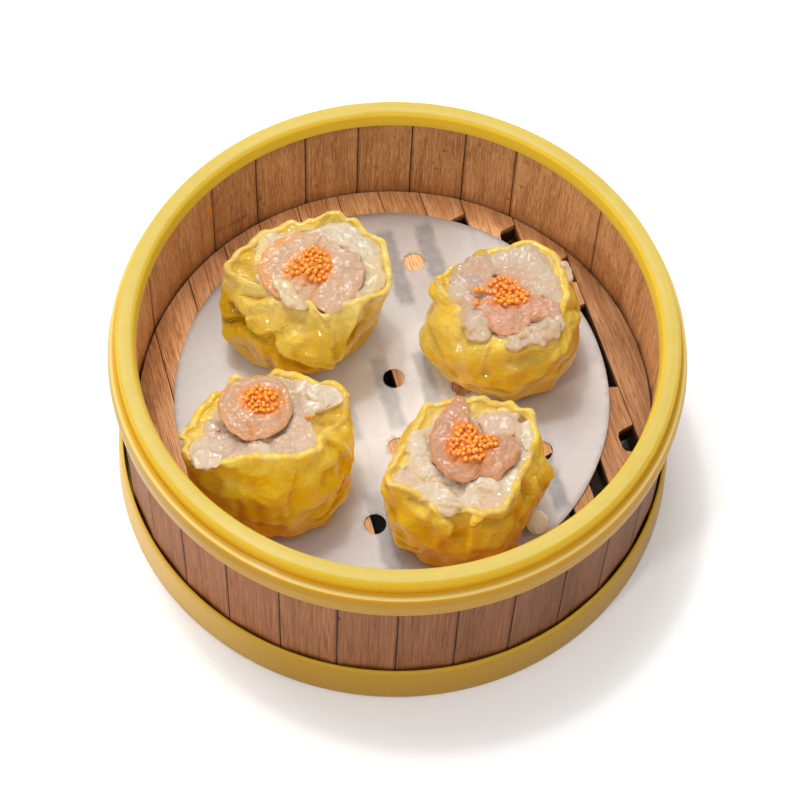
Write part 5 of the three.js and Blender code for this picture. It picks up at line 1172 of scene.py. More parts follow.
     {'pts': [(-15.05, -3.85, 28.91, 0.7), (-14.56, -1.85, 28.68, 1.6), (-13.6, -0.01, 28.78, 1.6), (-12.87, 0.82, 29.24, 0.8)], 'flat': 0.7, 'seg': 0, 'edge': 0, 'seed': 73, 'orange': 0, 'kind': 'grey'},
   ],
   roe=[
     {'c': (-1.0, 4.45), 'rx': 4.61, 'ry': 3.68, 'n': 22},
     {'c': (-4.11, 5.54), 'rx': 1.98, 'ry': 1.94, 'n': 4},
     {'c': (-0.96, 1.83), 'rx': 1.98, 'ry': 1.55, 'n': 4},
     {'c': (11.54, 0.62), 'rx': 0.72, 'ry': 0.77, 'n': 2},
   ]),
 'D4': dict(
   fill_edge=[[0, 1.6], [30, 2.0], [60, 2.6], [90, 2.6], [115, 2.4], [140, 2.2], [165, 2.0], [190, 2.0], [215, 1.0], [240, 0.6], [255, 0.2], [272, 1.0], [300, 0.8], [330, 1.2]],
   fill_mid=31.0,
   lumps=[
     (-12.88, 1.99, 2.0, 3.0, 3.8, 15, 5, 'cream'),
     (-14.24, 4.52, 1.0, 2.2, 2.0, 0, 4, 'cream'),
     (-10.43, -5.07, 2.6, 3.6, 3.0, -25, 6, 'cream'),
     (-12.96, -3.54, 1.1, 2.2, 2.0, 0, 4, 'cream'),
     (-15.84, -7.26, 0.4, 3.2, 2.2, 0, 3, 'grey'),
     (-8.39, -9.68, 0.9, 3.0, 2.0, 0, 3, 'cream'),
     (-5.49, -12.76, 2.0, 3.8, 3.0, -10, 5, 'cream'),
     (-4.12, -15.61, 1.2, 2.8, 2.0, 0, 4, 'cream'),
     (4.6, -9.08, 2.6, 4.4, 2.6, 12, 5, 'cream'),
     (2.71, -11.65, 1.3, 3.4, 2.0, 20, 4, 'cream'),
     (7.65, -12.29, 0.9, 2.6, 2.2, 0, 3, 'grey'),
     (1.61, -13.96, 0.6, 3.0, 1.6, 0, 3, 'grey'),
     (11.53, -8.46, 0.8, 2.2, 3.6, -30, 3, 'cream'),
     (13.56, -4.02, 0.5, 1.6, 3.0, -25, 3, 'cream'),
     (15.5, 7.28, 1.0, 2.0, 3.0, 10, 3, 'cream'),
     (8.25, 9.83, 0.9, 4.6, 2.6, -5, 3, 'grey'),
     (11.1, 7.39, 0.7, 2.4, 2.2, 0, 3, 'grey'),
     (3.21, 11.08, 0.3, 2.0, 1.6, 0, 3, 'jelly'),
     (14.22, 11.11, -1.1, 1.4, 1.2, 0, 3, 'deep_shade'),
   ],
   tubes=[
   ],
   discs=[
     {'outline': [(-1.95, 15.56, 34.2), (-4.63, 14.36, 34.3), (-6.57, 11.86, 34.4), (-8.17, 8.9, 34.4), (-9.3, 5.99, 34.4), (-10.01, 2.82, 34.3), (-9.94, -0.24, 34.1), (-9.23, -3.24, 33.9), (-7.59, -5.77, 33.6), (-5.51, -7.8, 33.4), (-3.01, -8.93, 33.2), (-0.54, -9.42, 33.1), (1.58, -8.78, 33.1), (3.23, -7.62, 33.2), (5.53, -7.73, 33.2), (8.0, -8.1, 33.2), (9.63, -6.2, 33.4), (11.57, -4.27, 33.6), (13.04, -1.85, 33.8), (13.83, 0.9, 34.0), (13.06, 3.21, 34.2), (11.01, 4.39, 34.4), (8.23, 4.34, 34.5), (5.13, 4.33, 34.5), (2.94, 5.26, 34.5), (1.49, 7.3, 34.5), (0.18, 9.64, 34.5), (-0.52, 12.17, 34.5), (-0.86, 14.59, 34.3)], 'mid': (0.3, 0.4, 34.7), 'th': 1.9, 'seed': 23, 'orange': 0.6, 'rough': 0.1, 'rag': 0.16, 'pale': 0.4, 'power': 2.3, 'grooves': [([(-0.89, 10.59), (-2.66, 7.99), (-4.27, 5.24), (-5.09, 2.19), (-4.97, -1.31), (-3.63, -4.54), (-0.81, -6.63), (1.95, -6.98), (4.99, -6.28), (7.37, -3.71)], 0.45, 0.7, 0.35), ([(1.62, -11.32), (2.01, -8.88), (3.01, -6.75), (3.53, -3.24)], 0.8, 0.45, 0.9), ([(-9.97, 1.19), (-7.8, 0.62), (-5.37, 1.47)], 0.2, 0.4, 0.35), ([(-6.87, -8.03), (-5.1, -6.19), (-3.61, -5.06)], 0.25, 0.45, 0.3), ([(9.62, -8.43), (8.35, -6.43), (7.08, -4.42)], 0.35, 0.45, 0.5), ([(-6.31, 10.62), (-3.75, 8.28), (-1.91, 8.75)], 0.3, 0.45, 0.5), ([(13.44, -1.25), (11.3, -1.38), (8.83, -0.83)], 0.25, 0.4, 0.3)]},
   ],
   blobs=[
     {'pts': [(-14.09, 4.2, 31.4, 1.0), (-12.96, 2.52, 30.92, 2.8), (-12.1, 0.56, 30.48, 3.2), (-12.3, -1.58, 30.48, 2.2), (-12.7, -2.69, 30.66, 0.9)], 'flat': 0.6, 'seg': 0, 'edge': 0, 'seed': 81, 'orange': 0, 'kind': 'cream'},
     {'pts': [(-13.86, -4.51, 30.48, 1.2), (-11.71, -4.81, 30.08, 3.2), (-9.54, -5.48, 29.86, 3.9), (-7.78, -6.91, 30.0, 3.0), (-6.76, -8.51, 30.28, 1.2)], 'flat': 0.6, 'seg': 0, 'edge': 0, 'seed': 82, 'orange': 0, 'kind': 'cream'},
     {'pts': [(-7.96, -12.67, 29.36, 1.4), (-6.14, -12.98, 28.96, 3.4), (-4.55, -14.6, 28.84, 3.6), (-3.85, -16.32, 28.72, 2.8), (-3.47, -17.33, 28.68, 1.2)], 'flat': 0.6, 'seg': 0, 'edge': 0, 'seed': 83, 'orange': 0, 'kind': 'cream'},
     {'pts': [(-0.11, -11.03, 31.0, 1.0), (1.97, -10.12, 30.72, 2.8), (4.36, -8.85, 30.62, 3.8), (6.54, -9.15, 30.48, 3.2), (7.86, -10.28, 30.56, 1.4)], 'flat': 0.6, 'seg': 0, 'edge': 0, 'seed': 84, 'orange': 0, 'kind': 'cream'},
     {'pts': [(2.56, 9.18, 33.3, 1.0), (4.71, 8.5, 33.1, 3.0), (7.81, 7.81, 32.9, 4.0), (10.62, 6.97, 33.0, 3.6), (12.24, 5.63, 33.3, 1.8)], 'flat': 0.5, 'seg': 0, 'edge': 0, 'seed': 85, 'orange': 0, 'kind': 'grey'},
     {'pts': [(14.75, 7.76, 32.6, 1.0), (15.39, 5.92, 32.2, 2.0), (15.75, 3.92, 31.88, 2.2), (15.51, 1.66, 32.2, 1.0)], 'flat': 0.6, 'seg': 0, 'edge': 0, 'seed': 86, 'orange': 0, 'kind': 'cream'},
   ],
   roe=[
     {'c': (-0.82, 3.62), 'rx': 2.73, 'ry': 2.64, 'n': 12},
     {'c': (-1.28, -0.98), 'rx': 3.69, 'ry': 3.2, 'n': 16},
     {'c': (2.66, 0.66), 'rx': 3.53, 'ry': 2.64, 'n': 12},
     {'c': (6.04, 1.33), 'rx': 1.44, 'ry': 1.51, 'n': 4},
     {'c': (0.94, -3.18), 'rx': 3.21, 'ry': 1.51, 'n': 7},
   ]),
}


def spline(pts, n):
    """points (x, y, z, w) joined by a smooth curve, n samples"""
    P = np.array(pts, float)
    d = np.concatenate([[0], np.cumsum(np.linalg.norm(np.diff(P[:, :3], axis=0), axis=1))])
    t = np.linspace(0, d[-1], n)
    m = np.gradient(P, d, axis=0)
    k = np.clip(np.searchsorted(d, t, side='right')-1, 0, len(d)-2)
    h = (d[k+1]-d[k])[:, None]; u = ((t-d[k])/(d[k+1]-d[k]))[:, None]
    return ((2*u**3-3*u**2+1)*P[k]+(u**3-2*u**2+u)*h*m[k]+(-2*u**3+3*u**2)*P[k+1]+(u**3-u**2)*h*m[k+1]), t


def cellular(P, seed, size, spread=25.0):
    """distance to the nearest of many scattered points, in units of size: rounded crumbs"""
    r = np.random.RandomState(seed)
    n = int((2*spread/size)**2)
    pts = r.uniform(-spread, spread, (n, 2))
    best = np.full(P.shape[:-1], 9.0)
    flat = P[..., :2].reshape(-1, 2)
    out = np.full(len(flat), 9.0); idv = np.zeros(len(flat))
    val = r.uniform(0, 1, n)
    for i in range(0, len(flat), 4000):
        dd = ((flat[i:i+4000, None]-pts[None])**2).sum(-1)
        j = dd.argmin(1)
        out[i:i+4000] = np.sqrt(dd[np.arange(len(j)), j])/size
        idv[i:i+4000] = val[j]
    return out.reshape(P.shape[:-1]), idv.reshape(P.shape[:-1])


def filling(key, nth=240, nr=84):
    """the minced filling: an uneven heap inside the wrapper. Local millimetres. Returns the grid and its colour masks"""
    sp, fd = SPECS[key], FOOD[key]
    th = np.arange(nth)*360.0/nth
    re = np.minimum(per(sp['lip'], 1, th), per(sp['rim'], 1, th)-1.3)+0.5
    ze = per(sp['lip'], 2, th)
    for _ in range(4):
        re = (np.roll(re, 1)+2*re+np.roll(re, -1))/4
        ze = (np.roll(ze, 1)+2*ze+np.roll(ze, -1))/4
    rag = np.stack([re*np.cos(np.radians(th)), re*np.sin(np.radians(th)), np.zeros(nth)], -1)
    re = re+waves(rag, sp['seed']+33, 2.6, 0.28)
    ze = ze+0.25+waves(rag, sp['seed']+34, 3.4, 0.22)
    rho = np.linspace(0.004, 1, nr)**0.85
    R = rho[:, None]*re[None]
    a = np.radians(th)[None]
    X, Y = R*np.cos(a), R*np.sin(a)
    s = rho[:, None]**2.2
    zm = fd['fill_mid']
    # plane through the edge heights, blended towards the middle height
    tilt = (ze-ze.mean())[None]*rho[:, None]
    Z = zm*(1-s)+ze.mean()*s+tilt
    P = np.stack([X, Y, np.zeros_like(X)], -1)
    cream = np.zeros_like(X); grey = np.zeros_like(X); jelly = np.zeros_like(X); deep_shade = np.zeros_like(X); lilac = np.zeros_like(X)
    wx = waves(P, sp['seed']+31, 4.0, 0.55); wy = waves(P, sp['seed']+32, 4.0, 0.55)
    for (cx, cy, dz, rx, ry, rot, pw, kind) in fd['lumps']:
        r_ = np.radians(rot)
        dx, dy = X+wx*0.8-cx, Y+wy*0.8-cy
        u = (dx*np.cos(r_)+dy*np.sin(r_))/rx; v = (-dx*np.sin(r_)+dy*np.cos(r_))/ry
        d = np.sqrt(u*u+v*v)
        f = np.exp(-(d/1.05)**pw)
        Z += dz*f
        t = {'cream': cream, 'grey': grey, 'jelly': jelly, 'deep_shade': deep_shade, 'lilac': lilac}[kind]
        np.maximum(t, np.exp(-(d/1.15)**(pw+1)), out=t)
    P = np.stack([X, Y, Z], -1)
    c1, id1 = cellular(P, sp['seed']+5, 2.4)
    c2, id2 = cellular(P, sp['seed']+6, 1.2)
    lump = 0.95*(1-np.clip(c1, 0, 1)**2)*(0.5+id1*0.8)+0.34*(1-np.clip(c2, 0, 1)**2)
    lump = lump*(1-0.85*cream)*(1-0.6*jelly)*(1-0.5*deep_shade)
    Z = Z+(lump-0.5)*0.58+(waves(P, sp['seed']+7, 5.0, 0.22)+waves(P, sp['seed']+8, 2.2, 0.10)+waves(P, sp['seed']+9, 1.1, 0.035))*(1-0.5*cream)
    Z = Z-0.75*np.exp(-((1-rho)[:, None]*re[None]/0.55))
    fine = np.clip(1-c1, 0, 1)
    # the sides run down inside the wrapper
    down = np.linspace(0, 1, 8)[1:]
    rows = [np.stack([X, Y, Z], -1)]
    low = []
    for t in down:
        rr = re*(1-0.10*t)
        low.append(np.stack([rr*np.cos(a[0]), rr*np.sin(a[0]), Z[-1]*(1-t)+14.0*t], -1))
    G = np.concatenate([rows[0], np.stack(low)])
    pad = lambda A: np.concatenate([A, np.repeat(A[-1:], len(low), 0)])
    return G, dict(cream=pad(cream), grey=pad(grey), jelly=pad(jelly), deep_shade=pad(deep_shade), lilac=pad(lilac), crumb=pad(fine), tint=pad(id1))


def shrimp(t, nring=40, step=0.34):
    """one piece of shrimp: a fat curl with shallow rings across it, rounded ends and an orange outer edge"""
    pts = t['pts']
    L = sum(np.linalg.norm(np.array(pts[i+1][:3])-np.array(pts[i][:3])) for i in range(len(pts)-1))
    n = int(L/step)+8
    C, s = spline(pts, n)
    T = np.gradient(C[:, :3], axis=0); T /= np.linalg.norm(T, axis=1, keepdims=True)+1e-9
    up = np.array([0, 0, 1.0])
    S = np.cross(T, up); S /= np.linalg.norm(S, axis=1, keepdims=True)+1e-9   # right-hand side
    U = np.cross(S, T)
    w = np.maximum(C[:, 3], 0.25)
    # round the two ends
    e = np.minimum(s, s[-1]-s)
    w = w*np.sqrt(np.clip(1-(1-np.clip(e/(0.8*w+0.3), 0, 1))**2, 0.0004, 1))
    ang = np.arange(nring)*2*np.pi/nring
    A, K = np.meshgrid(ang, np.arange(n))
    ca, sa = np.cos(A), np.sin(A)
    sq = (np.abs(ca)**2.3+np.abs(sa)**2.3)**(-1/2.3)
    X = (w[:, None]*ca*sq)[..., None]*S[:, None]+(w[:, None]*t['flat']*sa*sq)[..., None]*U[:, None]+C[:, None, :3]
    seg = np.zeros_like(A)
    if t['seg']:
        k = t['seg']
        rs = np.random.RandomState(t['seed'])
        cuts = (np.arange(1, k+1)+rs.uniform(-0.18, 0.18, k))/(k+1)*s[-1]
        bend = 0.9*np.abs(ca)
        for c in cuts:
            d = (s[:, None]-c+bend*rs.uniform(0.3, 1.2))
            seg = np.maximum(seg, np.exp(-(d/0.42)**2))
            X += (-(0.20+0.08*rs.rand())*np.exp(-(d/0.45)**2)+0.10*np.exp(-((d-1.0)/0.9)**2))[..., None]*((X-C[:, None, :3])/(w[:, None, None]+0.3))
    P = X
    nrm = X-C[:, None, :3]; nrm /= np.linalg.norm(nrm, axis=-1, keepdims=True)+1e-9
    X = X+nrm*(waves(P, t['seed']+40, 6.0, 0.34)+waves(P, t['seed']+41, 2.6, 0.16)+waves(P, t['seed']+42, 1.1, 0.05))[..., None]*np.clip(w/2.5, 0.1, 1)[:, None, None]
    side = ca*(1 if t['edge'] >= 0 else -1)
    edge = np.clip((side-0.35)/0.6, 0, 1)**1.2*(abs(t['edge']) > 0)*t['orange']
    edge = np.maximum(edge, 0.35*seg)
    return X, edge, seg, np.repeat((s/s[-1])[:, None], nring, 1), ca*w[:, None]*0.3


def from_line(X, Y, line):
    """distance of grid points from a broken line"""
    best = np.full(X.shape, 99.0)
    for (x0, y0), (x1, y1) in zip(line[:-1], line[1:]):
        dx, dy = x1-x0, y1-y0
        u = np.clip(((X-x0)*dx+(Y-y0)*dy)/(dx*dx+dy*dy+1e-9), 0, 1)
        best = np.minimum(best, np.hypot(X-x0-u*dx, Y-y0-u*dy))
    return best


def disc(t, nphi=168, nrow=52):
    """a tightly curled or minced piece of shrimp: a rounded slab with grooves on top. outline: x, y, z of its widest edge"""
    O = np.array(t['outline'], float)
    n = len(O)
    nxt, prv = np.roll(O, -1, 0), np.roll(O, 1, 0)
    dn = np.linalg.norm((nxt-O)[:, :2], axis=1)
    d = np.concatenate([[0], np.cumsum(dn)])
    tan = (nxt-prv)/(dn+np.roll(dn, 1))[:, None]
    s = np.arange(nphi)/nphi*d[-1]
    k = np.clip(np.searchsorted(d, s, side='right')-1, 0, n-1)
    h = dn[k][:, None]; u = ((s-d[k])/dn[k])[:, None]
    k2 = (k+1) % n
    E = (2*u**3-3*u**2+1)*O[k]+(u**3-2*u**2+u)*h*tan[k]+(-2*u**3+3*u**2)*O[k2]+(u**3-u**2)*h*tan[k2]
    C = np.array(t['mid'], float)
    a = np.linspace(-np.pi/2+0.04, np.pi/2-0.012, nrow)[:, None]
    e = 2/t.get('power', 2.7)
    rho = np.abs(np.cos(a))**e; zr = np.sign(np.sin(a))*np.abs(np.sin(a))**e
    # the underside is deeper than the top; a gap still shows under some edges from the side
    low = np.clip(-zr, 0, 1)
    sink = rho*(1-0.15*low)
    X = C[0]+sink*(E[None, :, 0]-C[0]); Y = C[1]+sink*(E[None, :, 1]-C[1])
    w = rho**1.6
    Z = C[2]*(1-w)+E[None, :, 2]*w+zr*(t['th']+1.7*low)
    P = np.stack([X, Y, Z], -1)
    top = np.clip(zr*2.5, 0, 1)*np.clip((1.0-rho)/0.06, 0.25, 1)
    seg = np.zeros_like(X)
    for line, depth, width, tint in t['grooves']:
        q = from_line(X+waves(P, t['seed']+5, 3.0, 0.16), Y+waves(P, t['seed']+6, 3.0, 0.16), line)
        Z = Z-top*(depth*np.exp(-(q/width)**2)-0.35*depth*np.exp(-((q-2*width)/(1.2*width))**2))
        seg = np.maximum(seg, tint*np.exp(-(q/(1.25*width))**2))
    c, _ = cellular(P, t['seed']+9, 1.5)
    r = t.get('rough', 0.1)
    Z = Z+top*(r*(1-np.clip(c, 0, 1)**2)+waves(P, t['seed']+1, 6.0, 0.22)+waves(P, t['seed']+2, 2.6, 0.10+0.5*r)+waves(P, t['seed']+3, 1.1, 0.03+0.3*r))
    rag = waves(np.stack([E[:, 0], E[:, 1], 0*E[:, 0]], -1), t['seed']+4, 3.0, t.get('rag', 0.15))
    out = (E[:, :2]-C[None, :2]); out = out/(np.linalg.norm(out, axis=1, keepdims=True)+1e-9)
    X = X+rho*rag[None]*out[None, :, 0]; Y = Y+rho*rag[None]*out[None, :, 1]
    edge = np.clip((rho-0.86)/0.14, 0, 1)**1.1*t['orange']*np.ones_like(X)
    if t.get('west'):
        # the tail side carries the orange skin
        side = np.clip((C[0]-X)/9.0+0.1, 0, 1)
        edge = np.maximum(edge*(0.25+0.75*side), t['west']*np.clip((rho-0.62)/0.38, 0, 1)**1.3*side)
    edge = np.maximum(edge, seg)
    run = np.repeat((np.arange(nphi)/nphi)[None], nrow, 0)
    return np.stack([X, Y, Z], -1), edge, seg, run, rho*1.6*np.ones_like(X)


def height_map(grids, cell=0.25, half=26.0):
    """the highest point of the grids over each small square"""
    n = int(2*half/cell)
    H = np.full((n, n), -99.0)
    for G in grids:
        P = G.reshape(-1, 3)
        i = np.clip(((P[:, 0]+half)/cell).astype(int), 0, n-1); j = np.clip(((P[:, 1]+half)/cell).astype(int), 0, n-1)
        np.maximum.at(H, (i, j), P[:, 2])
    return H


def top_of(H, x, y, z0, cell=0.25, half=26.0):
    i, j = int((x+half)/cell), int((y+half)/cell)
    return max(z0, H[max(i-2, 0):i+3, max(j-2, 0):j+3].max())


def roe(key, grids, seed):
    """bead centres and radii, heaped where they lie"""
    rs = np.random.RandomState(seed)
    out = []
    H = height_map(grids)
    for r in FOOD[key]['roe']:
        placed = 0; tries = 0
        while placed < int(r['n']*1.5) and tries < r['n']*60:
            tries += 1
            a, q = rs.uniform(0, 6.283), np.sqrt(rs.uniform(0, 1))
            x = r['c'][0]+r['rx']*q*np.cos(a); y = r['c'][1]+r['ry']*q*np.sin(a)
            rad = rs.uniform(0.52, 0.76)
            near = [b for b in out if (b[0]-x)**2+(b[1]-y)**2 < ((rad+b[3])*0.84)**2]
            if len(near) > (1 if rs.rand() < 0.35 else 0):
                continue
            z = top_of(H, x, y, 20.0)+rad*rs.uniform(0.0, 0.6)
            if near:
                z = max(z, max(b[2] for b in near)+rad*0.55)
            out.append((x, y, z, rad)); placed += 1
    return out

# ---------------------------------------------------------------- making the pieces
V_P, F_P = paper_mesh()
piece("paper_sheet", V_P, F_P, paper_material(), True, ("liner",))

FOOD_Z = 25.7


def fans(rows, cols, first, ends_, flip=False):
    """triangles closing the first and the last row of a grid on two added points (first index, last index)"""
    out = []
    lo, hi = ends_
    for j in range(cols):
        k = (j + 1) % cols
        if lo is not None:
            out.append((lo, k + first, j + first) if not flip else (lo, j + first, k + first))
        if hi is not None:
            a, b = (rows - 1) * cols + first, (rows - 1) * cols + first
            out.append((hi, a + j, b + k) if not flip else (hi, a + k, b + j))
    return out


def solid(grids, flip, colors):
    """closed grids (each rows x cols x 3, millimetres) as one mesh's vertices, faces and colours"""
    vs, fs, cs, n = [], [], [], 0
    for G, C in zip(grids, colors):
        rows, cols = G.shape[:2]
        fs += [tuple(int(i) for i in f) for f in grid_faces(rows, cols, n, True, flip)]
        fs += fans(rows, cols, n, (n + rows * cols, n + rows * cols + 1), flip)
        vs += [G.reshape(-1, 3), [G[0].mean(0)], [G[-1].mean(0)]]
        cs += [C.reshape(-1, 3), [C[0].mean(0)], [C[-1].mean(0)]]
        n += rows * cols + 2
    return np.concatenate(vs), fs, np.concatenate(cs)


def dough_material(k, gain, pale, wet, rim_band_light, up_shade_low, up_shade_gain, rim_band_light_col=(0.95, 0.75, 0.18)):
    m = Mat("dough_%d" % k)
    p = m.mm()
    x, y, z = m.split(p)
    tone = m.attr("tone")
    sep = m.t.nodes.new("ShaderNodeSeparateColor")
    m.put(sep.inputs[0], tone.outputs["Color"])
    rim, groove, ridge_highlight = sep.outputs[0], sep.outputs[1], sep.outputs[2]
    lips = m.t.nodes.new("ShaderNodeSeparateColor")
    m.put(lips.inputs[0], m.attr("lip").outputs["Color"])
    lipf, near, golden = lips.outputs[0], lips.outputs[1], lips.outputs[2]
    broad = m.noise(p, 0.10, 3.0, 0.6)
    mid = m.noise(p, 0.35, 4.0, 0.6)
    fine = m.noise(p, 1.6, 4.0, 0.65)
    green = 0.965 if k > 2 else 1.0
    g = lambda r_, g_, b_: (min(r_ * gain, 0.94), min(g_ * gain * green, 0.8), b_)
    col = m.mix(m.rng(broad, 0.35, 0.65), g(0.79, 0.46, 0.005), g(0.82, 0.53, 0.012))
    col = m.mix(m.rng(mid, 0.5, 0.8, 0.0, 0.22), col, g(0.87, 0.63, 0.05))
    col = m.mix(m.rng(mid, 0.22, 0.42, 0.35, 0.0), col, g(0.76, 0.40, 0.003))
    # painted shade: darker in the grooves of the folds; painted highlight: paler on the raised folds
    col = m.mix(m.mul(groove, 0.55), col, g(0.66, 0.29, 0.002))
    col = m.mix(m.mul(ridge_highlight, 0.4), col, g(0.90, 0.64, 0.08))
    col = m.mix(m.mul(m.rng(m.noise(p, 0.16, 3.0, 0.6), 0.45, 0.62), pale), col, g(0.86, 0.68, 0.22))
    # painted shade against the light from above: faces that look up get a darker, less saturated colour, darkest low
    # down
    geo = m.t.nodes.new("ShaderNodeNewGeometry")
    nz = m.split(geo.outputs["Normal"])[2]
    up = m.mul(m.rng(nz, 0.15, 0.8), m.rng(mid, 0.25, 0.65, 0.6, 1.0))
    # painted light: the band below the rim gets a pale yellow, for light through the thin dough
    col = m.mix(m.mul(m.mul(near, m.rng(mid, 0.3, 0.6, 0.5, 1.0)), rim_band_light), col, rim_band_light_col)
    tall = m.rng(z, 46.0, 54.0)
    s = lambda r_, g_, b_: (r_ * up_shade_gain, g_ * up_shade_gain, b_ * up_shade_gain)
    up_shade_col = m.mix(tall, up_shade_low, m.mix(m.rng(broad, 0.4, 0.6), s(0.59, 0.36, 0.025), s(0.62, 0.43, 0.08)))
    col = m.mix(m.mul(up, 0.95), col, up_shade_col)
    col = m.mix(m.mul(lipf, m.rng(mid, 0.3, 0.6, 0.5, 1.0)), col, m.mix(m.rng(broad, 0.4, 0.6), (0.59, 0.44, 0.13), (0.61, 0.48, 0.22)))
    # painted light: the steep inner faces of the lip, which lie in shade, are made lighter
    col = m.mix(m.mul(m.mul(lipf, m.rng(nz, 0.1, 0.65, 1.0, 0.0)), 0.85), col, (0.88, 0.67, 0.17))
    col = m.mix(m.mul(golden, m.rng(mid, 0.3, 0.6, 0.6, 1.0)), col, (0.50, 0.27, 0.010))
    # painted shade: darker and deeper yellow towards the bottom
    low = m.rng(z, 26.5, 37.0, 1.0, 0.0)
    col = m.mix(m.mul(low, 0.55), col, (0.62, 0.30, 0.004))
    # painted light: a pale band along the thin rim edge, where light shows through the dough
    rimf = m.math("MULTIPLY", rim, m.rng(mid, 0.35, 0.65, 0.05, 1.0))
    col = m.mix(m.mul(rimf, 0.45), col, (0.70, 0.56, 0.25))
    wrinkle = m.noise(m.shift(p, m.xyz(m.mul(mid, 2.0), m.mul(broad, 3.0), m.mul(mid, 1.0))), 0.8, 2.0, 0.5)
    h = m.add(m.add(m.mul(fine, 0.3), m.mul(mid, 0.9)), m.mul(wrinkle, 0.55))
    m.set(Base_Color=col, Roughness=m.add(0.22, m.mul(fine, 0.2)), Normal=m.bump(h, 0.6, 0.0007))
    m.set(Subsurface_Weight=0.35, Subsurface_Scale=0.0025, Subsurface_Radius=(1.0, 0.65, 0.06), Specular_IOR_Level=0.05, Coat_Weight=wet, Coat_Roughness=0.06)
    return m.m


def channels(m, name):
    sep = m.t.nodes.new("ShaderNodeSeparateColor")
    m.put(sep.inputs[0], m.attr(name).outputs["Color"])
    return sep.outputs[0], sep.outputs[1], sep.outputs[2]


def filling_material(k, gain):
    m = Mat("filling_%d" % k)
    p = m.mm()
    cream, grey, jelly = channels(m, "kind")
    deep_shade, lilac, glow = channels(m, "more")
    broad = m.noise(p, 0.16, 3.0, 0.6)
    mid = m.noise(p, 0.7, 4.0, 0.62)
    fine = m.noise(p, 2.6, 4.0, 0.65)
    lump = m.cells(m.shift(p, m.xyz(m.mul(mid, 1.2), m.mul(broad, 1.6), 0.0)), 0.42, "SMOOTH_F1", 1.0, 0.4)
    col = m.mix(m.rng(broad, 0.35, 0.65), (0.54, 0.39, 0.275), (0.57, 0.43, 0.315))
    col = m.mix(m.rng(mid, 0.5, 0.75, 0.0, 0.6), col, (0.584, 0.473, 0.348))
    col = m.mix(m.rng(mid, 0.28, 0.44, 0.45, 0.0), col, (0.47, 0.28, 0.17))
    col = m.mix(m.mul(grey, 0.7), col, (0.54, 0.39, 0.295))
    col = m.mix(m.mul(lilac, 0.7), col, (0.45, 0.325, 0.285))
    col = m.mix(m.mul(jelly, 0.75), col, (0.60, 0.48, 0.26))
    col = m.mix(m.mul(cream, 0.85), col, m.mix(m.rng(fine, 0.4, 0.7), (0.58, 0.485, 0.37), (0.62, 0.53, 0.415)))
    # painted shade in the gaps between crumbs
    crumb_gap_shade = m.rng(lump, 0.75, 1.15)
    col = m.mix(m.mul(crumb_gap_shade, 0.25), col, (0.47, 0.29, 0.165))
    col = m.mix(m.mul(glow, m.rng(mid, 0.3, 0.6, 0.5, 0.95)), col, (0.84, 0.23, 0.015))
    skirt, _, _ = channels(m, "skirt")
    col = m.mix(m.mul(skirt, m.rng(mid, 0.3, 0.6, 0.5, 1.0)), col, (0.68, 0.50, 0.13))
    # painted shade: the deep pits in the heap are dark brown
    col = m.mix(m.mul(deep_shade, 0.9), col, (0.3, 0.12, 0.03))
    geo = m.t.nodes.new("ShaderNodeNewGeometry")
    nrm = m.split(geo.outputs["Normal"])
    # painted light: faces turned away from the key light are made lighter and warmer
    key_light_facing = m.add(m.add(m.mul(nrm[0], -0.196), m.mul(nrm[1], 0.334)), m.mul(nrm[2], 0.922))
    away_from_key_lift = m.mul(m.rng(key_light_facing, 0.25, 0.88, 1.0, 0.0), m.sub(1.0, deep_shade))
    col = m.mix(m.mul(away_from_key_lift, 0.85), col, m.mix(cream, (0.86, 0.60, 0.39), (0.90, 0.70, 0.47)))
    col = m.mix(1.0, col, gain, "MULTIPLY")
    h = m.add(m.mul(fine, 0.4), m.mul(mid, 1.0))
    m.set(Base_Color=col, Roughness=m.add(0.22, m.mul(fine, 0.24)), Normal=m.bump(h, 0.5, 0.0006))
    m.set(Subsurface_Weight=0.1, Subsurface_Scale=0.0012, Subsurface_Radius=(1.0, 0.85, 0.75), Specular_IOR_Level=0.15, Coat_Weight=0.6, Coat_Roughness=0.05)
    return m.m


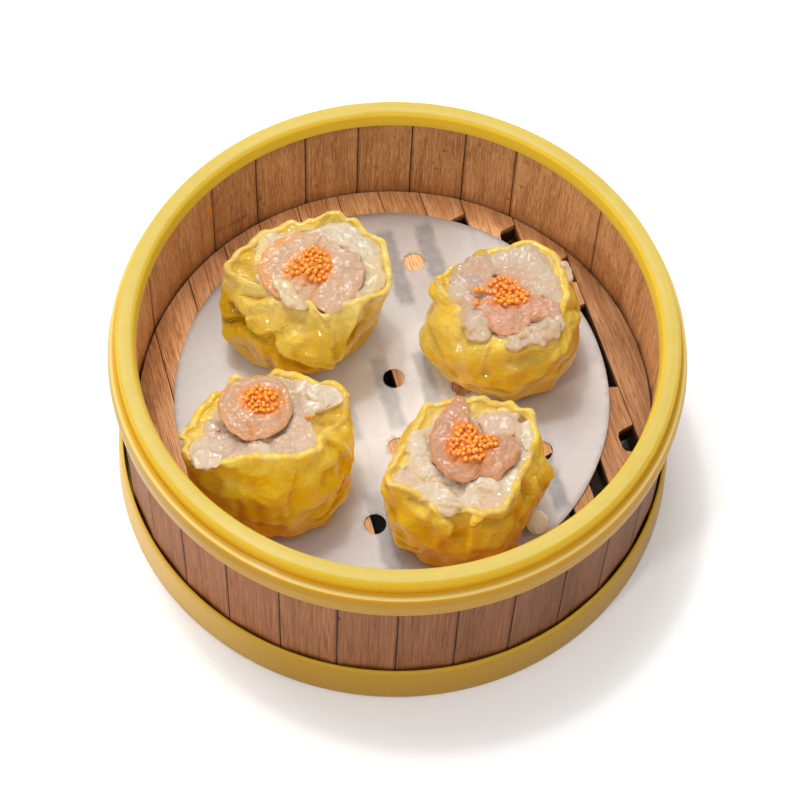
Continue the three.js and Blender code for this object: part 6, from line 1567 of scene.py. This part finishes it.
def shrimp_material(k, gain):
    m = Mat("shrimp_skin_%d" % k)
    p = m.mm()
    edge, glow_, pale = channels(m, "skin")
    run, around, seg = channels(m, "run")
    broad = m.noise(p, 0.17, 3.0, 0.6)
    mid = m.noise(p, 0.6, 4.0, 0.65)
    fine = m.noise(p, 2.4, 4.0, 0.65)
    # muscle fibres follow the curl
    fib = m.noise(m.xyz(m.mul(run, 22.0), m.mul(around, 3.2), m.mul(broad, 2.0)), 1.6, 4.0, 0.72, 0.6)
    col = m.mix(m.rng(broad, 0.35, 0.65), (0.47, 0.24, 0.135), (0.50, 0.275, 0.165))
    col = m.mix(m.mul(pale, 0.75), col, (0.52, 0.31, 0.20))
    col = m.mix(m.rng(fib, 0.48, 0.66, 0.0, 0.8), col, (0.64, 0.44, 0.345))
    col = m.mix(m.rng(mid, 0.25, 0.42, 0.5, 0.0), col, (0.56, 0.22, 0.09))
    # orange skin: strong at the outer edge, in the grooves, and in small freckles
    ragged = m.math("MULTIPLY", edge, m.rng(mid, 0.25, 0.65, 0.35, 1.3), None, True)
    col = m.mix(m.math("MULTIPLY", ragged, 0.95, None, True), col, m.mix(m.rng(fine, 0.4, 0.65), (0.68, 0.19, 0.03), (0.68, 0.27, 0.08)))
    streak = m.mul(m.rng(m.noise(m.xyz(m.mul(run, 30.0), m.mul(around, 2.0), 3.0), 1.3, 3.0, 0.6), 0.60, 0.70), m.rng(broad, 0.42, 0.6))
    col = m.mix(m.mul(streak, 0.5), col, (0.74, 0.20, 0.03))
    fr = m.cells(m.shift(p, m.xyz(m.mul(mid, 0.8), m.mul(fine, 0.5), 0.0)), 0.95)
    freckle = m.mul(m.rng(fr, 0.10, 0.30, 1.0, 0.0), m.rng(broad, 0.45, 0.6))
    col = m.mix(m.mul(glow_, m.rng(mid, 0.3, 0.6, 0.6, 1.0)), col, (0.72, 0.18, 0.008))
    col = m.mix(m.mul(freckle, 0.7), col, (0.76, 0.18, 0.02))
    geo = m.t.nodes.new("ShaderNodeNewGeometry")
    nrm = m.split(geo.outputs["Normal"])
    key_light_facing = m.add(m.add(m.mul(nrm[0], -0.196), m.mul(nrm[1], 0.334)), m.mul(nrm[2], 0.922))
    # painted light: faces turned away from the key light are made lighter and warmer
    col = m.mix(m.mul(m.rng(key_light_facing, 0.2, 0.85, 1.0, 0.0), 0.7), col, (0.80, 0.40, 0.20))
    col = m.mix(1.0, col, gain, "MULTIPLY")
    h = m.add(m.mul(fine, 0.35), m.add(m.mul(mid, 0.8), m.mul(fib, 0.9)))
    m.set(Base_Color=col, Roughness=m.add(0.18, m.mul(fine, 0.22)), Normal=m.bump(h, 0.65, 0.0007))
    m.set(Subsurface_Weight=0.12, Subsurface_Scale=0.0014, Subsurface_Radius=(1.0, 0.85, 0.75), Specular_IOR_Level=0.15, Coat_Weight=0.7, Coat_Roughness=0.045)
    return m.m


def roe_material():
    m = Mat("roe")
    p = m.mm()
    own, top, _ = channels(m, "bead")
    fine = m.noise(p, 1.1, 3.0, 0.6)
    col = m.mix(own, (0.745, 0.18, 0.008), (0.765, 0.26, 0.024))
    # painted light: the top of each bead is paler
    col = m.mix(m.rng(top, 0.5, 1.0, 0.0, 0.5), col, (0.80, 0.40, 0.09))
    col = m.mix(m.rng(fine, 0.3, 0.5, 0.4, 0.0), col, (0.88, 0.18, 0.004))
    m.set(Base_Color=col, Roughness=m.add(0.14, m.mul(fine, 0.1)), Normal=m.bump(fine, 0.2, 0.0001))
    # painted light: a faint orange glow stands in for light through the beads
    m.set(Subsurface_Weight=0.6, Subsurface_Scale=0.0014, Subsurface_Radius=(1.0, 0.45, 0.12), Specular_IOR_Level=0.55, Coat_Weight=0.4, Coat_Roughness=0.06, Emission_Color=(1.0, 0.27, 0.03, 1.0), Emission_Strength=0.10)
    return m.m


def stock_material():
    m = Mat("stock")
    p = m.mm()
    n = m.noise(p, 0.35, 3.0, 0.6)
    f = m.noise(p, 1.6, 3.0, 0.6)
    col = m.mix(m.rng(n, 0.35, 0.65), (0.71, 0.70, 0.50), (0.75, 0.75, 0.57))
    col = m.mix(m.rng(f, 0.55, 0.8, 0.0, 0.5), col, (0.90, 0.86, 0.76))
    m.set(Base_Color=col, Roughness=m.add(0.1, m.mul(f, 0.12)), Normal=m.bump(m.add(n, m.mul(f, 0.4)), 0.25, 0.0004))
    # painted light: a faint glow stands in for light through the drop
    m.set(Subsurface_Weight=0.15, Subsurface_Scale=0.0015, Subsurface_Radius=(1.0, 0.85, 0.7), Specular_IOR_Level=0.5, Coat_Weight=1.0, Coat_Roughness=0.04, Emission_Color=(0.78, 0.76, 0.50, 1.0), Emission_Strength=0.12)
    return m.m


def ball():
    """a round bead, 320 triangles, radius 1"""
    t = (1 + 5 ** 0.5) / 2
    V = [(-1, t, 0), (1, t, 0), (-1, -t, 0), (1, -t, 0), (0, -1, t), (0, 1, t), (0, -1, -t), (0, 1, -t), (t, 0, -1), (t, 0, 1), (-t, 0, -1), (-t, 0, 1)]
    F = [(0, 11, 5), (0, 5, 1), (0, 1, 7), (0, 7, 10), (0, 10, 11), (1, 5, 9), (5, 11, 4), (11, 10, 2), (10, 7, 6), (7, 1, 8),
         (3, 9, 4), (3, 4, 2), (3, 2, 6), (3, 6, 8), (3, 8, 9), (4, 9, 5), (2, 4, 11), (6, 2, 10), (8, 6, 7), (9, 8, 1)]
    V = [np.array(v, float) / np.linalg.norm(v) for v in V]
    for _ in range(2):
        mid, out = {}, []
        def half(a, b):
            k = (min(a, b), max(a, b))
            if k not in mid:
                q = V[a] + V[b]
                V.append(q / np.linalg.norm(q))
                mid[k] = len(V) - 1
            return mid[k]
        for a, b, c in F:
            ab, bc, ca = half(a, b), half(b, c), half(c, a)
            out += [(a, ab, ca), (b, bc, ab), (c, ca, bc), (ab, bc, ca)]
        F = out
    return np.array(V), np.array(F)


BALL_V, BALL_F = ball()
ROE = roe_material()
SHRIMP_GAIN = {"D1": (0.99, 1.17, 1.25), "D2": (0.99, 1.03, 1.15), "D3": (0.99, 1.10, 1.10), "D4": (0.92, 0.93, 0.92)}
FILL_GAIN = {"D1": (0.90, 0.92, 0.90), "D2": (0.80, 0.75, 0.725), "D3": (0.92, 0.91, 0.88), "D4": (0.95, 0.955, 0.935)}


DOUGH = {"D1": (0.88, 0.12, 0.6, 0.85, (0.33, 0.175, 0.004), 0.97, (0.98, 0.86, 0.36)), "D2": (0.97, 0.35, 0.6, 0.7, (0.48, 0.33, 0.06), 0.98),
         "D3": (1.25, 0.02, 0.6, 0.3, (0.56, 0.33, 0.008), 0.95), "D4": (1.10, 0.15, 0.6, 0.4, (0.46, 0.285, 0.012), 0.90)}
PALE = {"D1": 0.75, "D2": 0.45, "D3": 0.2, "D4": 0.35}


def glow(key, G):
    """where the roe's orange juice colours what lies under it"""
    out = np.zeros(G.shape[:2])
    for r in FOOD[key]["roe"]:
        if r["n"] < 4:
            continue
        d = np.sqrt(((G[..., 0] - r["c"][0]) / (r["rx"] + 0.6)) ** 2 + ((G[..., 1] - r["c"][1]) / (r["ry"] + 0.6)) ** 2)
        out = np.maximum(out, np.clip(1.35 - d, 0, 0.45) / 0.45 * min(1.0, r["n"] / 12.0 + 0.3))
    return out


def lumpy(G, seed):
    """a soft chunk of filling, uneven all over"""
    c = G.mean(1, keepdims=True)
    n = G - c
    n = n / (np.linalg.norm(n, axis=-1, keepdims=True) + 1e-9)
    k, _ = cellular(G, seed, 2.1)
    d = 0.13 * (0.5 - np.clip(k, 0, 1) ** 2) + waves(G, seed + 3, 3.4, 0.2) + waves(G, seed + 4, 1.5, 0.03)
    fade = np.clip(np.linalg.norm(G - c, axis=-1) / 1.6, 0.15, 1)
    return G + n * (d * fade)[..., None]


def place(key, A):
    at = SPECS[key]["at"]
    return A + np.array([at[0], at[1], FOOD_Z])


for i, key in enumerate(("D1", "D2", "D3", "D4"), 1):
    G, TH, V, W, D = wrapper(SPECS[key], 360, 118, 8)
    # painted light: the thin edge of the rim and the inner edge of the lip are marked paler, as light shows through the
    # thin dough
    rim = np.clip((V - 0.95) / 0.05, 0, 1) ** 1.5 * np.where(W > 0.99, 0, 1)
    rim += np.where(W > 0.99, 0.25 + 0.65 * np.clip((W - 1.7) / 0.3, 0, 1), 0)
    # painted shade in the grooves and painted highlight on the raised folds, from the folds' displacement
    groove = np.clip(-D / 1.4, 0, 1)
    ridge_highlight = np.clip(D / 2.0, 0, 1)
    C = np.stack([np.clip(rim, 0, 1), groove, ridge_highlight], -1)
    lipc = np.clip((W - 1.05) / 0.7, 0, 1)[..., None] ** 0.9 * np.array([1, 0, 0.0])
    # the second lip channel marks the band below the rim that gets painted light
    lo_v = {"D1": 0.74, "D2": 0.72}.get(key, 0.86)
    lipc[..., 1] = np.where(W < 0.99, np.clip((V - lo_v) / (0.96 - lo_v), 0, 1), 0)
    for kk, mid_th, wide in (("D1", 172, 26.0), ("D3", 14, 24.0)):
        if kk == key:
            dth = (TH - mid_th + 180) % 360 - 180
            lipc[..., 2] = 0.85 * np.exp(-(dth / wide) ** 2) * np.clip((V - 0.86) / 0.1, 0, 1)
            lipc[..., 0] *= 1 - lipc[..., 2]
    G = G + np.array([0, 0, FOOD_Z])
    vs, fs, cs = solid([G], False, [C])
    lip = solid([G], False, [lipc])[2]
    piece("wrapper_%d" % i, vs * MM, fs, dough_material(i, *DOUGH[key]), True, ("dumpling_%d_wrapper" % i,), {"tone": cs, "lip": lip})

    G, K = filling(key)
    chunks = [(lumpy(shrimp(t, 34, 0.36)[0], t["seed"]), t["kind"]) for t in FOOD[key]["blobs"]]
    kinds = [np.stack([K["cream"], K["grey"], K["jelly"]], -1)]
    mores = [np.stack([K["deep_shade"], K["lilac"], glow(key, G)], -1)]
    for g, kd in chunks:
        kinds.append(np.zeros(g.shape) + np.array([kd == "cream", kd == "grey", kd == "jelly"], float) * 0.9)
        mores.append(np.stack([np.zeros(g.shape[:2]), np.zeros(g.shape[:2]), glow(key, g) * 0.4], -1))
    heap = [G] + [g for g, _ in chunks]
    rho = np.clip(np.linspace(0.004, 1, 84) ** 0.85, 0, 1)
    rho = np.concatenate([rho, np.ones(len(G) - 84)])[:, None] * np.ones((1, G.shape[1]))
    band = 0.55 * np.clip((rho - 0.88) / 0.12, 0, 1)
    if key == "D1":
        ang = np.degrees(np.arctan2(G[..., 1], G[..., 0]))
        west = np.exp(-(((ang - 172 + 180) % 360 - 180) / 34.0) ** 2)
        band = np.maximum(band, west * np.clip((rho - 0.62) / 0.2, 0, 1))
    yellow = [np.stack([band, band, band], -1)] + [np.zeros(g.shape) for g, _ in chunks]
    vs, fs, kind = solid([place(key, g) for g in heap], True, kinds)
    more = solid(heap, True, mores)[2]
    piece("filling_%d" % i, vs * MM, fs, filling_material(i, FILL_GAIN[key]), True, ("dumpling_%d_filling" % i,), {"kind": kind, "more": more, "skirt": solid(heap, True, yellow)[2]})

    parts = [shrimp(t) for t in FOOD[key]["tubes"]] + [disc(t) for t in FOOD[key].get("discs", [])]
    grids = [q[0] for q in parts]
    vs, fs, skin = solid([place(key, g) for g in grids], True, [np.stack([q[1], glow(key, q[0]), np.full(q[1].shape, PALE[key])], -1) for q in parts])
    run = solid(grids, True, [np.stack([q[3] * 0.4 + 0.07 * n, q[4], q[2]], -1) for n, q in enumerate(parts)])[2]
    piece("shrimp_%d" % i, vs * MM, fs, shrimp_material(i, SHRIMP_GAIN[key]), True, ("dumpling_%d_shrimp" % i,), {"skin": skin, "run": run})

    beads = roe(key, grids + [G[:84]], 500 + i)
    rs = np.random.RandomState(900 + i)
    bv, bf, bc = [], [], []
    for n, (x, y, z, r) in enumerate(beads):
        sq = rs.uniform(0.93, 1.05, 3)
        P = place(key, BALL_V * r * sq + np.array([x, y, z]))
        bv.append(P)
        bf.append(BALL_F + n * len(BALL_V))
        # the second channel is the height on each bead, for the paler painted light on its top
        bc.append(np.stack([np.full(len(P), rs.uniform(0, 1)), BALL_V[:, 2] * 0.5 + 0.5, np.zeros(len(P))], -1))
    piece("roe_%d" % i, np.concatenate(bv) * MM, np.concatenate(bf), ROE, True, (), {"bead": np.concatenate(bc)})

# the drop of set stock beside the front right dumpling
DROP = (40.3, -36.5, 3.2, 5.2)
rows = np.linspace(0, 1, 26)
cols = np.arange(48) * 2 * PI / 48
rr = np.sin(rows * PI * 0.5) ** 0.8
prof = [(DROP[2] * (1.0 + 0.10 * math.sin(PI * t)) * math.sqrt(max(1 - (1 - min(t * 1.6, 1)) ** 2, 0.0)) if t < 0.62 else DROP[2] * math.sqrt(max(1 - ((t - 0.62) / 0.38) ** 2, 0)) ** 0.9, DROP[3] * t) for t in np.linspace(0, 1, 30)]
prof = []
for t in np.linspace(0, 1, 30):
    a = t * PI * 0.5 * 1.22 - 0.22 * PI * 0.5
    prof.append((DROP[2] * math.cos(a) * (1.0 if a > 0 else 1.0), DROP[3] * (0.27 + 0.73 * math.sin(a)) if a > 0 else DROP[3] * 0.27 * (1 + math.sin(a) / math.sin(0.11 * PI))))
G = np.array([[(r * math.cos(c), r * math.sin(c), z) for c in cols] for r, z in prof])
G = G + waves(G, 77, 4.0, 0.12)[..., None] * np.array([1, 1, 0.3])
G[..., 0] += DROP[0]; G[..., 1] += DROP[1]; G[..., 2] = np.maximum(G[..., 2], 0) + 25.32
vs, fs, _ = solid([G], False, [np.zeros_like(G)])
piece("stock_bead", vs * MM, fs, stock_material(), True, ("stock_drop",))
